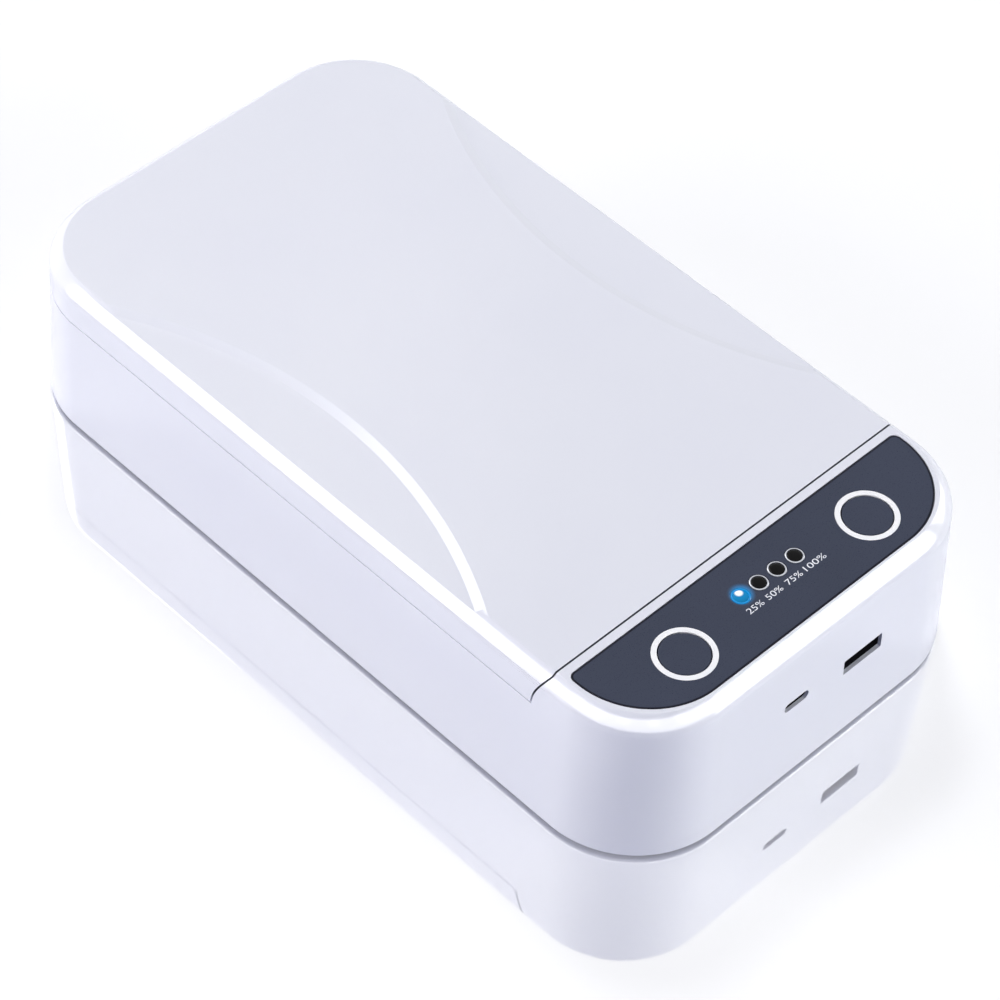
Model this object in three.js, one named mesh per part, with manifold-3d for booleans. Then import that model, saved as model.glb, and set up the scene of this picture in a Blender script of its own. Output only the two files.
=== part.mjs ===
// Ultraviolet sterilizer box: a hinged-lid case for a telephone and other small things
// Millimetres, +Z up. The control deck is at the -Y end, the lid hinge at the +Y end.

import * as THREE from 'three';
import { mergeVertices } from 'three/addons/utils/BufferGeometryUtils.js';
import Module from 'manifold-3d';

const wasm = await Module();
wasm.setup();

// Whole body, measured at its foot; the walls lean in towards the top
const bodyLength = 220;
const bodyWidth = 120.4;
const bodyHeight = 46.8;
const cornerRadius = 26.5;
const wallLean = 2;
const topEdgeReach = 3.4;
const topEdgeDrop = 4.8;
const bottomEdgeRadius = 1;
const wall = 2.5;
const deckThickness = 2.2;
const shellLift = 0.8;

// Lid seam across the top, and parting line round the sides
const seamSetback = 32.85;
const seamGap = 0.4;
const seamSweep = 3.6;
const seamStart = 0.8;
const lidDepth = 11;
const partingGap = 0.3;

// Clearances: a piece on its seat, a fixed piece in its hole, and a moving piece
const seat = 0.1;
const fit = 0.15;
const run = 0.3;

// Overrun of every cut, the least corner radius and the overlap of fused forms
const overrun = 10;
const leastRadius = 0.2;
const fuse = 0.4;

// Lid: walls and the two lowered crescents
const lidWall = 2;
const lidTop = 2;
const crescentDrop = 0.7;
const crescentEdge = 1.3;
const crescentRadius = 124.8;
const crescentWaist = 38;
const crescentSetback = 9.5;

// Lid liner, its supports and screws
const linerThickness = 1.4;
const linerLift = 0.15;
const bossRadius = 3.2;
const linerBossInset = 12;

// Hinges
const hingeSpread = 20;
const baseKnuckleWidth = 9;
const lidKnuckleWidth = 6;
const knuckleRadius = 1.5;
const hingePinRadius = 0.6;
const hingeDrop = 1.8;
const hingeInset = 0.2;

// Rim of the base, bulkhead under the seam and its ledge
const lipWidth = 1.1;
const flangeThickness = 1.6;
const bulkhead = 2;
const bulkheadLedge = 1.6;
const bulkheadDepth = 26;

// Sterilizing chamber
const chamberMargin = 8;
const shelfWidth = 14.4;
const chamberFloor = 17.5;
const chamberWall = 1.2;
const chamberTaper = 1.5;
const chamberFillet = 3;

// Lamp troughs, reflectors and lamps
const troughWidth = 18;
const troughEndRoom = 9.3;
const troughDepth = 7;
const lampRadius = 1.5;
const lampEndRoom = 6;
const lampGrip = 6;
const holderLength = 10;
const holderRadius = 2.4;
const holderWidth = 6;
const holderHeight = 3.6;
const upperLampLift = 2.3;
const reflectorSheet = 0.4;
const reflectorFlat = 9;
const lowerReflectorRise = 4.6;
const reflectorFoot = 1.8;
const reflectorEndGap = 0.5;

// Guard grille over the lower lamp
const guardBorder = 1.6;
const guardThickness = 1.6;
const guardRail = 2.6;
const guardBar = 1.6;
const guardBars = 11;

// Aroma well in the front shelf
const aromaLength = 22;
const aromaWidth = 5.4;
const aromaDepth = 6;
const aromaWall = 1;
const aromaBorder = 0.6;
const aromaCoverThickness = 0.8;
const aromaSlots = 7;
const aromaSlotWidth = 1.1;

// Control panel on the deck
const panelFrontInset = 5.85;
const panelSideInset = 6.3;
const panelBackGap = 2.4;
const panelCorner = 21.6;
const panelTip = 1.8;
const panelThickness = 0.7;

// Push buttons with their rings
const buttonSpread = 30.25;
const buttonSetback = 17.35;
const ringRadius = 7.6;
const ringStroke = 1.35;
const buttonTravel = 0.5;
const buttonFlange = 0.9;
const buttonFlangeThickness = 1;
const buttonEdge = 0.15;
const stemRadius = 1.7;
const stemDip = 1.1;
const switchWidth = 6.2;
const switchHeight = 4.2;

// Battery lights
const lightPitch = 5.95;
const lightSetback = 20.4;
const lightRadius = 1.8;
const lightStemRadius = 1.3;
const bezelWidth = 0.32;
const bezelRise = 0.06;
const diodeHeight = 1.2;
const diodeWidth = 2.4;

// Control board under the deck
const boardThickness = 1.6;
const boardDrop = 18.2;
const controlBoardEndRoom = 3.5;
const controlBoardFront = 6;
const controlBoardBack = 3;
const boardBossSpread = 18;
const boardBossSetback = 24;
const boardBossRadius = 3;

// Output socket, type A
const outputX = 14.25;
const outputDrop = 22.2;
const outputWidth = 12.9;
const outputHeight = 4.6;
const outputDepth = 13;
const socketSheet = 0.5;
const outputTongueWidth = 11;
const outputTongueHeight = 1.9;
const outputTongueLift = 0.7;
const tongueSetback = 1.6;

// Charging socket, type C
const chargeX = -8.3;
const chargeDrop = 20.6;
const chargeWidth = 8;
const chargeHeight = 2.6;
const chargeDepth = 7.5;
const chargeTongueWidth = 6.7;
const chargeTongueHeight = 0.7;

// Screws
const screwRadius = 1.2;
const screwHeadRadius = 2.5;
const screwHeadHeight = 1.3;
const coverScrewLength = 9;
const linerScrewLength = 2.6;
const boardScrewLength = 8;
const driveWidth = 0.7;
const driveDepth = 0.6;
const skinLeft = 0.9;
const linerHeadHeight = 0.7;
const linerSkin = 0.6;

// Bottom cover with its bosses and feet
const coverThickness = 2.4;
const coverLift = 0.3;
const cornerBossRadius = 3.9;
const cornerBossHeight = 11;
const footRadius = 6.5;
const footSeatDepth = 0.9;
const footEdge = 0.5;
const footSideInset = 20.2;
const footEndInset = 34;

// Battery pack and its cradle
const packSideRoom = 6.7;
const packMiddleRoom = 0.8;
const packEndRoom = 36.3;
const packHeight = 9;
const packCorner = 3;
const packEdge = 1.2;
const cradleWall = 1.2;
const cradleHeight = 1.8;

// Power board with the lamp transformer
const powerBoardInset = 2;
const standoffHeight = 4;
const standoffRadius = 2.4;
const standoffInset = 4;
const coreWidth = 19;
const coreLength = 16;
const coreHeight = 4.4;
const coreLimb = 3.4;
const windingRadius = 2.9;
const componentHeight = 3.2;

// Magnets, lid sensor and leads
const magnetRadius = 3;
const magnetThickness = 1.6;
const magnetInset = 26.2;
const sensorRoom = 2.5;
const sensorWidth = 3;
const sensorHeight = 2.2;
const leadRadius = 0.9;
const leadBend = 6;
const leadTuck = 1.6;

// Facet counts
const cornerSteps = 8;
const edgeSteps = 4;
const seamSteps = 6;
const roundSteps = 28;
const fineSteps = 18;
const coarseSteps = 12;
const sweepSteps = 96;
const leadSteps = 16;
const leadSides = 6;

// Planes that several pieces share
const frontY = -bodyLength / 2;
const rearY = bodyLength / 2;
const partingHeight = bodyHeight - lidDepth;
const seamY = frontY + seamSetback;
const baseSeamY = seamY - seamGap / 2;
const lidSeamY = seamY + seamGap / 2;
const baseFootY = baseSeamY + seamSweep;
const lidFootY = lidSeamY + seamSweep;
const baseRimZ = partingHeight - partingGap / 2;
const lidRimZ = partingHeight + partingGap / 2;
const deckUnderside = bodyHeight - deckThickness;
const lidUnderside = bodyHeight - lidTop;
const linerBottom = lidRimZ + linerLift;
const linerTop = linerBottom + linerThickness;
const flangeBottom = baseRimZ - flangeThickness;
const pocketFloor = bodyHeight - panelThickness - seat;
const boardTop = bodyHeight - boardDrop + boardThickness;
const boardBottom = bodyHeight - boardDrop;
const outputZ = bodyHeight - outputDrop;
const chargeZ = bodyHeight - chargeDrop;
const coverBottom = shellLift + coverLift;
const coverTop = coverBottom + coverThickness;
const chamberFrontY = baseSeamY + shelfWidth;
const chamberRearY = rearY - chamberMargin;
const chamberY = (chamberFrontY + chamberRearY) / 2;
const chamberLength = chamberRearY - chamberFrontY;
const chamberWidth = bodyWidth - 2 * chamberMargin;
const chamberRadius = cornerRadius - chamberMargin;
const troughFloor = chamberFloor - troughDepth;
const troughLength = chamberLength - 2 * troughEndRoom;
const lampLength = troughLength - 2 * lampEndRoom;
const buttonY = frontY + buttonSetback;
const buttonRadius = ringRadius - ringStroke - run;

// How far the walls have leaned in at a height
const leanAt = (z) => wallLean * (z - shellLift) / (bodyHeight - shellLift);

const hingeZ = partingHeight - hingeDrop;
const hingeY = rearY - leanAt(hingeZ) - hingeInset;
const hingeOverhang = Math.max(hingeY + knuckleRadius - rearY, 0);
const socketFrontY = frontY + leanAt(boardBottom) + wall + seat;

// Battery pack and power board, one on each side of the lower lamp trough
const packOuter = bodyWidth / 2 - wall - packSideRoom;
const packInner = troughWidth / 2 + chamberWall + packMiddleRoom;
const packWidth = packOuter - packInner;
const packLength = chamberLength - 2 * packEndRoom;
const packX = -(packOuter + packInner) / 2;
const powerBoardWidth = packWidth - 2 * powerBoardInset;
const powerBoardLength = packLength - 2 * powerBoardInset;
const powerBoardX = -packX;

const quarter = Math.PI / 2;

// Solids: three.js forms, cut and joined as closed bodies

function solidOf(geometry) {
  const bare = geometry.clone();
  bare.deleteAttribute('normal');
  bare.deleteAttribute('uv');
  const merged = mergeVertices(bare);
  const mesh = new wasm.Mesh({
    numProp: 3,
    vertProperties: new Float32Array(merged.attributes.position.array),
    triVerts: new Uint32Array(merged.index.array),
  });
  return new wasm.Manifold(mesh);
}

function geometryOf(solid) {
  const mesh = solid.getMesh();
  const geometry = new THREE.BufferGeometry();
  geometry.setAttribute('position', new THREE.BufferAttribute(mesh.vertProperties, mesh.numProp));
  geometry.setIndex(new THREE.BufferAttribute(mesh.triVerts, 1));
  return geometry;
}

const join = (...solids) => solids.reduce((whole, next) => whole.add(next));
const cut = (solid, ...tools) => tools.reduce((rest, tool) => rest.subtract(tool), solid);

// A box between two corners
function block(x0, x1, y0, y1, z0, z1) {
  const geometry = new THREE.BoxGeometry(x1 - x0, y1 - y0, z1 - z0);
  geometry.translate((x0 + x1) / 2, (y0 + y1) / 2, (z0 + z1) / 2);
  return solidOf(geometry);
}

// A box given by its middle in plan and its height span
function slab(x, y, width, length, z0, z1) {
  return block(x - width / 2, x + width / 2, y - length / 2, y + length / 2, z0, z1);
}

// An upright round post
function post(x, y, radius, z0, z1, steps = fineSteps) {
  const geometry = new THREE.CylinderGeometry(radius, radius, z1 - z0, steps);
  geometry.rotateX(quarter);
  geometry.translate(x, y, (z0 + z1) / 2);
  return solidOf(geometry);
}

// A round rod that lies along X
function crossRod(x, y, z, radius, width, steps = fineSteps) {
  const geometry = new THREE.CylinderGeometry(radius, radius, width, steps);
  geometry.rotateZ(quarter);
  geometry.translate(x, y, z);
  return solidOf(geometry);
}

// A turned solid on an upright axis, from [radius, height] pairs that start and end on the axis
function turned(x, y, pairs, steps = fineSteps) {
  const geometry = new THREE.LatheGeometry(pairs.map(([r, z]) => new THREE.Vector2(r, z)), steps);
  geometry.rotateX(quarter);
  geometry.translate(x, y, 0);
  return solidOf(geometry);
}

// An outline in plan, raised between two heights
function raised(shape, z0, z1) {
  const geometry = new THREE.ExtrudeGeometry(shape, {
    depth: z1 - z0, bevelEnabled: false, curveSegments: cornerSteps,
  });
  geometry.translate(0, 0, z0);
  return solidOf(geometry);
}

// A section in X and Z, run along Y between two ends
function runAlongY(points, y0, y1) {
  const shape = new THREE.Shape(points.map(([x, z]) => new THREE.Vector2(x, z)));
  const geometry = new THREE.ExtrudeGeometry(shape, { depth: y1 - y0, bevelEnabled: false });
  geometry.rotateX(quarter);
  geometry.translate(0, y1, 0);
  return solidOf(geometry);
}

// One loop of a rounded rectangle, counter-clockwise
function roundedLoop(x, y, width, length, radius) {
  const reachX = width / 2 - radius;
  const reachY = length / 2 - radius;
  const corners = [[1, 1], [-1, 1], [-1, -1], [1, -1]];
  return corners.flatMap(([sideX, sideY], corner) =>
    Array.from({ length: cornerSteps + 1 }, (_, step) => {
      const angle = quarter * (corner + step / cornerSteps);
      return [
        x + sideX * reachX + radius * Math.cos(angle),
        y + sideY * reachY + radius * Math.sin(angle),
      ];
    }));
}

// A closed skin over a stack of equal loops, each with its height
function loft(loops) {
  const count = loops[0].points.length;
  const positions = loops.flatMap(({ points, z }) => points.flatMap(([x, y]) => [x, y, z]));
  const index = [];
  for (let level = 0; level + 1 < loops.length; level += 1) {
    for (let i = 0; i < count; i += 1) {
      const a = level * count + i;
      const b = level * count + (i + 1) % count;
      index.push(a, b, b + count, a, b + count, a + count);
    }
  }
  const last = (loops.length - 1) * count;
  for (let i = 1; i + 1 < count; i += 1) {
    index.push(0, i + 1, i, last, last + i, last + i + 1);
  }
  const geometry = new THREE.BufferGeometry();
  geometry.setAttribute('position', new THREE.Float32BufferAttribute(positions, 3));
  geometry.setIndex(index);
  return solidOf(geometry);
}

// A box with round upright corners, round top and bottom edges and tapered walls
function roundedBox({
  x = 0, y = 0, width, length, radius, bottom, top, bottomRound = 0, topRound = 0,
  topDrop = topRound, taper = 0, steps = edgeSteps,
}) {
  const stations = [];
  const addRound = (round, drop, level, sign) => {
    const count = round > 0 ? steps : 0;
    for (let step = 0; step <= count; step += 1) {
      const angle = count ? quarter * (sign < 0 ? step : count - step) / count : quarter;
      const inset = round * (1 - Math.sin(angle));
      stations.push({ z: level - sign * drop * (1 - Math.cos(angle)), inset });
    }
  };
  addRound(bottomRound, bottomRound, bottom, -1);
  addRound(topRound, topDrop, top, 1);
  return loft(stations.map(({ z, inset }) => {
    const drawn = inset + taper * (top - z) / (top - bottom);
    const corner = Math.max(radius - drawn, leastRadius);
    return { z, points: roundedLoop(x, y, width - 2 * drawn, length - 2 * drawn, corner) };
  }));
}

// The body's own leaning outline, drawn in all round by an inset
function bodyForm(inset, bottom, top, bottomRound = 0, topRound = 0, topDrop = topRound) {
  const drawn = inset + leanAt(top);
  return roundedBox({
    width: bodyWidth - 2 * drawn, length: bodyLength - 2 * drawn, radius: cornerRadius - drawn,
    bottom, top, bottomRound, topRound, topDrop, taper: leanAt(bottom) - leanAt(top),
  });
}

// Everything behind a plane across the box
const behind = (y) => block(-bodyWidth, bodyWidth, y, bodyLength, -overrun, bodyHeight + overrun);

const outerForm = bodyForm(
  0, shellLift, bodyHeight, bottomEdgeRadius, topEdgeReach, topEdgeDrop);

// All that lies behind the seam and over the parting line; the seam sweeps back as it runs down
function lidRoom(y, z) {
  const top = bodyHeight + overrun;
  const start = bodyHeight - seamStart;
  const shape = new THREE.Shape();
  shape.moveTo(bodyLength, top);
  shape.lineTo(y, top);
  for (let step = 0; step <= seamSteps; step += 1) {
    const share = step / seamSteps;
    shape.lineTo(y + seamSweep * Math.sin(quarter * share), start - (start - z) * share);
  }
  shape.lineTo(bodyLength, z);
  const geometry = new THREE.ExtrudeGeometry(shape, { depth: 2 * bodyWidth, bevelEnabled: false });
  geometry.translate(0, 0, -bodyWidth);
  geometry.rotateX(quarter);
  geometry.rotateZ(quarter);
  return solidOf(geometry);
}

// A slot with round ends that points along Y through the front wall
function pillCut(x, z, width, height, y0, y1) {
  const reach = (width - height) / 2;
  const shape = new THREE.Shape();
  shape.absarc(x + reach, z, height / 2, -quarter, quarter, false);
  shape.absarc(x - reach, z, height / 2, quarter, -quarter + 2 * Math.PI, false);
  const geometry = new THREE.ExtrudeGeometry(shape, {
    depth: y1 - y0, bevelEnabled: false, curveSegments: cornerSteps,
  });
  geometry.rotateX(quarter);
  geometry.translate(0, y1, 0);
  return solidOf(geometry);
}

// Panel outline: big arcs at the front corners and tight tips at the seam
function panelShape(growth) {
  const half = bodyWidth / 2 - panelSideInset + growth;
  const front = frontY + panelFrontInset - growth;
  const back = baseSeamY - panelBackGap + growth;
  const corner = panelCorner + growth;
  const tip = panelTip + growth;
  const shape = new THREE.Shape();
  shape.absarc(half - corner, front + corner, corner, -quarter, 0, false);
  shape.absarc(half - tip, back - tip, tip, 0, quarter, false);
  shape.absarc(-half + tip, back - tip, tip, quarter, 2 * quarter, false);
  shape.absarc(-half + corner, front + corner, corner, 2 * quarter, 3 * quarter, false);
  return shape;
}

// The row of four battery lights
const lightPlaces = [0, 1, 2, 3].map((place) => [
  (place - 3 / 2) * lightPitch, frontY + lightSetback,
]);
const buttonPlaces = [-buttonSpread, buttonSpread];
const boardBossPlaces = [-boardBossSpread, boardBossSpread];
const boardBossY = frontY + boardBossSetback;

// Corner screws stand inside the round corners of the shell
const cornerReach = (cornerRadius - wall - cornerBossRadius + fuse / 2) * Math.SQRT1_2;
const cornerBossX = bodyWidth / 2 - cornerRadius + cornerReach;
const cornerBossY = bodyLength / 2 - cornerRadius + cornerReach;
const fourSigns = [[-1, -1], [1, -1], [-1, 1], [1, 1]];
const coverScrewHeadTop = coverTop - skinLeft;

// Hinge geometry: the base knuckle sits between two lid knuckles on each pin
const hingePlaces = [-hingeSpread, hingeSpread];
const lidKnuckleReach = (baseKnuckleWidth + lidKnuckleWidth) / 2 + run;
const lidKnuckleXs = hingePlaces.flatMap((x) => [x - lidKnuckleReach, x + lidKnuckleReach]);
const pinBoreRadius = hingePinRadius + run;
const hingeSpan = baseKnuckleWidth + 2 * (lidKnuckleWidth + run);

// The room that knuckles of a given width need in the rim of the base
function knuckleNotch(x, width) {
  const half = width / 2 + run;
  const reach = knuckleRadius + run;
  return join(
    crossRod(x, hingeY, hingeZ, reach, 2 * half),
    block(x - half, x + half, hingeY - reach, rearY + overrun, hingeZ, bodyHeight),
  );
}

const lidKnuckleNotches = lidKnuckleXs.map((x) => knuckleNotch(x, lidKnuckleWidth));
const hingeNotches = hingePlaces.map((x) => knuckleNotch(x, hingeSpan));

// Lower shell: side walls, control deck, bulkhead, rim and base knuckles
function baseShell() {
  const cavity = bodyForm(
    wall, -overrun, deckUnderside, 0, topEdgeReach - wall, topEdgeDrop - deckThickness);
  const ledgeBack = baseFootY + bulkheadLedge;
  const bulkheadBottom = deckUnderside - bulkheadDepth;
  const slant = cut(lidRoom(baseSeamY - bulkhead, baseRimZ), behind(baseFootY));
  const walls = join(
    cut(outerForm, cavity),
    slant.intersect(outerForm),
    block(-bodyWidth, bodyWidth, baseFootY - bulkhead, baseFootY, bulkheadBottom, baseRimZ + fuse)
      .intersect(outerForm),
    block(-bodyWidth, bodyWidth, baseFootY - bulkhead, ledgeBack, bulkheadBottom, flangeBottom - seat)
      .intersect(outerForm),
  );
  const cornerBosses = fourSigns.map(([sideX, sideY]) => post(
    sideX * cornerBossX, sideY * cornerBossY, cornerBossRadius,
    coverTop + seat, coverTop + seat + cornerBossHeight));
  const boardBosses = boardBossPlaces.map((x) => post(
    x, boardBossY, boardBossRadius, boardTop + seat, deckUnderside + fuse));
  const baseKnuckles = hingePlaces.map((x) => crossRod(
    x, hingeY, hingeZ, knuckleRadius, baseKnuckleWidth));
  const whole = join(walls, ...cornerBosses.map((boss) => boss.intersect(outerForm)), ...boardBosses);

  const room = lidRoom(baseSeamY, baseRimZ);
  const rabbet = bodyForm(lipWidth, flangeBottom - seat, bodyHeight).intersect(behind(baseFootY));
  const panelPocket = raised(panelShape(fit), pocketFloor, bodyHeight + overrun);
  const buttonHoles = buttonPlaces.map((x) => post(
    x, buttonY, buttonRadius + run, deckUnderside - overrun / 2, bodyHeight, roundSteps));
  const lightHoles = lightPlaces.map(([x, y]) => post(
    x, y, lightStemRadius + fit, deckUnderside - overrun / 2, bodyHeight, coarseSteps));
  const boardBores = boardBossPlaces.map((x) => post(
    x, boardBossY, screwRadius + fit, boardTop, boardTop + boardScrewLength, coarseSteps));
  const coverBores = fourSigns.map(([sideX, sideY]) => post(
    sideX * cornerBossX, sideY * cornerBossY, screwRadius + fit,
    coverTop, coverTop + coverScrewLength, coarseSteps));
  const outputCut = block(
    outputX - outputWidth / 2, outputX + outputWidth / 2, frontY - overrun, socketFrontY + fuse,
    outputZ - outputHeight / 2, outputZ + outputHeight / 2);
  const chargeCut = pillCut(
    chargeX, chargeZ, chargeWidth, chargeHeight, frontY - overrun, socketFrontY + fuse);
  const cutShell = cut(
    whole, room, rabbet, panelPocket, ...buttonHoles, ...lightHoles, ...boardBores,
    ...coverBores, outputCut, chargeCut, ...lidKnuckleNotches);
  const bore = crossRod(0, hingeY, hingeZ, pinBoreRadius, bodyWidth, coarseSteps)
    .intersect(join(...hingePlaces.map((x) => slab(
      x, hingeY, baseKnuckleWidth + 2 * fuse, 2 * overrun, 0, bodyHeight))));
  return cut(join(cutShell, ...baseKnuckles), bore);
}

// Upper shell: crowned by two lowered crescents, with the lid knuckles at the back
function lidShell() {
  const blank = outerForm.intersect(lidRoom(lidSeamY, lidRimZ));
  const cavity = bodyForm(lidWall, 0, lidUnderside, 0, topEdgeReach - lidWall, topEdgeDrop - lidTop)
    .intersect(join(lidRoom(lidSeamY + lidWall, lidRimZ), behind(lidFootY + lidWall)));
  const bosses = linerBossPlaces.map(([x, y]) => post(
    x, y, bossRadius, linerTop + seat, lidUnderside + fuse));
  const armFront = hingeY - knuckleRadius;
  const armRear = rearY - leanAt(lidRimZ + fuse);
  const arms = lidKnuckleXs.map((x) => join(
    crossRod(x, hingeY, hingeZ, knuckleRadius, lidKnuckleWidth),
    slab(x, (armFront + armRear) / 2, lidKnuckleWidth, armRear - armFront, hingeZ, lidRimZ + fuse),
  ));
  const bores = lidKnuckleXs.map((x) => crossRod(
    x, hingeY, hingeZ, pinBoreRadius, lidKnuckleWidth + 2 * fuse, coarseSteps));
  const screwBores = linerScrewPlaces.map(([x, y]) => post(
    x, y, screwRadius + fit, linerTop, linerTop + linerScrewLength, coarseSteps));
  return cut(
    join(cut(blank, cavity), ...bosses, ...arms), ...[-1, 1].map(crescentCut), ...bores,
    ...screwBores);
}

// The lowered ground of one crescent, a turned form that reaches in over the side of the lid
function crescentCut(side) {
  const ground = bodyHeight - crescentDrop;
  const sweep = Array.from({ length: edgeSteps + 1 }, (_, step) => {
    const share = step / edgeSteps;
    const ease = share * share * (3 - 2 * share);
    return [crescentRadius - crescentEdge / 2 + crescentEdge * share, ground + crescentDrop * ease];
  });
  return turned(side * (crescentWaist + crescentRadius), crescentSetback, [
    [0, ground], ...sweep, [crescentRadius + crescentEdge / 2, bodyHeight + overrun],
    [0, bodyHeight + overrun],
  ], sweepSteps);
}

// Liner under the lid, open over the lamp
const linerInset = lidWall + run;
const linerFrontY = lidFootY + lidWall + run;
const linerBossX = bodyWidth / 2 - linerInset - linerBossInset;
const linerScrewPlaces = [-1, 1].map((side) => [side * linerBossX, linerFrontY + linerBossInset]);
const linerBossPlaces = [
  ...linerScrewPlaces,
  ...[-1, 1].map((side) => [side * linerBossX, chamberY]),
  ...[-1, 1].map((side) => [side * linerBossX, chamberRearY - linerBossInset]),
];

function lidLiner() {
  const plate = bodyForm(linerInset, linerBottom, linerTop).intersect(behind(linerFrontY));
  const window = slab(0, chamberY, troughWidth, troughLength, linerBottom - overrun, linerTop + overrun);
  const screwSeats = linerScrewPlaces.map(([x, y]) => join(
    post(x, y, screwRadius + fit, linerBottom - overrun, linerTop + overrun, coarseSteps),
    post(x, y, screwHeadRadius + fit, linerBottom - overrun, linerTop - linerSkin),
  ));
  return cut(plate, window, ...screwSeats);
}

// Folded sheet behind a lamp: a flat back and two spread sides, opening down or up
function reflector(backZ, rise, direction, foot) {
  const flat = reflectorFlat / 2;
  const mouth = troughWidth / 2 - fit - reflectorSheet;
  const sheet = reflectorSheet * direction;
  const edge = backZ + rise * direction;
  const outer = foot
    ? [[-mouth, edge - sheet], [-mouth - foot, edge - sheet], [-mouth - foot, edge]]
    : [[-mouth, edge]];
  const left = [
    [-flat, backZ], ...outer, [-mouth + reflectorSheet, edge],
    [-flat + reflectorSheet, backZ + sheet],
  ];
  const points = [...left, ...left.map(([x, z]) => [-x, z]).reverse()];
  const half = lampLength / 2 - lampGrip - reflectorEndGap;
  return runAlongY(direction > 0 ? points : points.reverse(), chamberY - half, chamberY + half);
}

// Lamp tube with round ends, lying along Y
function lamp(z) {
  const half = lampLength / 2;
  const dome = Array.from({ length: edgeSteps + 1 }, (_, step) => {
    const angle = quarter * step / edgeSteps;
    return [lampRadius * Math.sin(angle), half - lampRadius + lampRadius * Math.cos(angle)];
  });
  const pairs = [...dome.map(([r, y]) => [r, -y]), ...dome.reverse()];
  const geometry = new THREE.LatheGeometry(pairs.map(([r, y]) => new THREE.Vector2(r, y)), coarseSteps);
  geometry.translate(0, chamberY, z);
  return solidOf(geometry);
}

// The blind bore of a lamp holder, from the middle of the lamp outwards
function lampSocketCut(end, z) {
  const reach = lampLength / 2 + fit;
  const geometry = new THREE.CylinderGeometry(lampRadius + fit, lampRadius + fit, reach, coarseSteps);
  geometry.translate(0, chamberY + end * reach / 2, z);
  return solidOf(geometry);
}

function holderSpan(end) {
  const inner = chamberY + end * (lampLength / 2 - lampGrip);
  const outer = inner + end * holderLength;
  return [Math.min(inner, outer), Math.max(inner, outer)];
}

// Silicone boots that hold the lamp ends
function lowerHolder(end) {
  const [y0, y1] = holderSpan(end);
  const geometry = new THREE.CylinderGeometry(holderRadius, holderRadius, y1 - y0, fineSteps);
  geometry.translate(0, (y0 + y1) / 2, lowerLampZ);
  const sole = block(-holderRadius, holderRadius, y0, y1, troughFloor + seat, lowerLampZ);
  return cut(join(solidOf(geometry), sole), lampSocketCut(end, lowerLampZ));
}

function upperHolder(end) {
  const [y0, y1] = holderSpan(end);
  const body = block(
    -holderWidth / 2, holderWidth / 2, y0, y1,
    upperLampZ - holderHeight / 2, upperLampZ + holderHeight / 2);
  return cut(body, lampSocketCut(end, upperLampZ));
}

const lowerLampZ = troughFloor + seat + holderRadius;
const upperLampZ = lidUnderside - upperLampLift;
const guardBottom = chamberFloor - guardThickness;
const aromaY = baseFootY + bulkheadLedge + run + aromaWall + aromaWidth / 2;

// Chamber tub: flange on the rim, tapered walls, lamp trough and aroma well
function chamberLiner() {
  const flangeInset = lipWidth + fit;
  const flange = bodyForm(flangeInset, flangeBottom, baseRimZ).intersect(behind(baseFootY + fit));
  const tub = (growth, bottom, top) => roundedBox({
    y: chamberY, width: chamberWidth + 2 * growth, length: chamberLength + 2 * growth,
    radius: chamberRadius + growth, bottom, top,
    bottomRound: chamberFillet + growth, taper: chamberTaper,
  });
  const troughBox = (growth, bottom, top) => slab(
    0, chamberY, troughWidth + 2 * growth, troughLength + 2 * growth, bottom, top);
  const well = slab(
    0, aromaY, aromaLength + 2 * aromaWall, aromaWidth + 2 * aromaWall,
    baseRimZ - aromaDepth - aromaWall, flangeBottom + fuse);
  const solid = join(
    flange, tub(chamberWall, chamberFloor - chamberWall, baseRimZ - fuse),
    troughBox(chamberWall, troughFloor - chamberWall, chamberFloor - fuse),
    troughBox(guardBorder + chamberWall, guardBottom - seat - chamberWall, chamberFloor - fuse),
    well);
  return cut(
    solid,
    tub(0, chamberFloor, baseRimZ + fuse),
    troughBox(0, troughFloor, chamberFloor + fuse),
    troughBox(guardBorder, guardBottom - seat, chamberFloor + fuse),
    slab(0, aromaY, aromaLength, aromaWidth, baseRimZ - aromaDepth, baseRimZ + overrun),
    slab(0, aromaY, aromaLength + 2 * aromaBorder, aromaWidth + 2 * aromaBorder,
      baseRimZ - aromaCoverThickness - seat, baseRimZ + overrun),
    ...hingeNotches);
}

// Ladder grille that keeps a telephone off the lower lamp
function lampGuard() {
  const width = troughWidth + 2 * (guardBorder - fit);
  const length = troughLength + 2 * (guardBorder - fit);
  const frame = cut(
    slab(0, chamberY, width, length, guardBottom, chamberFloor),
    slab(0, chamberY, width - 2 * guardRail, length - 2 * guardRail,
      guardBottom - overrun, chamberFloor + overrun));
  const pitch = length / (guardBars + 1);
  const bars = Array.from({ length: guardBars }, (_, bar) => slab(
    0, chamberY - length / 2 + pitch * (bar + 1), width - guardRail, guardBar,
    guardBottom, chamberFloor));
  return join(frame, ...bars);
}

function aromaPad() {
  return roundedBox({
    y: aromaY, width: aromaLength - 2 * run, length: aromaWidth - 2 * run, radius: aromaBorder,
    bottom: baseRimZ - aromaDepth + seat, top: baseRimZ - aromaCoverThickness - run,
  });
}

function aromaCover() {
  const width = aromaLength + 2 * (aromaBorder - fit);
  const length = aromaWidth + 2 * (aromaBorder - fit);
  const plate = roundedBox({
    y: aromaY, width, length, radius: aromaBorder,
    bottom: baseRimZ - aromaCoverThickness, top: baseRimZ,
  });
  const pitch = aromaLength / aromaSlots;
  const slots = Array.from({ length: aromaSlots }, (_, slot) => slab(
    (slot - (aromaSlots - 1) / 2) * pitch, aromaY, aromaSlotWidth, aromaWidth - 2 * aromaBorder,
    baseRimZ - overrun, baseRimZ + overrun));
  return cut(plate, ...slots);
}

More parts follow.
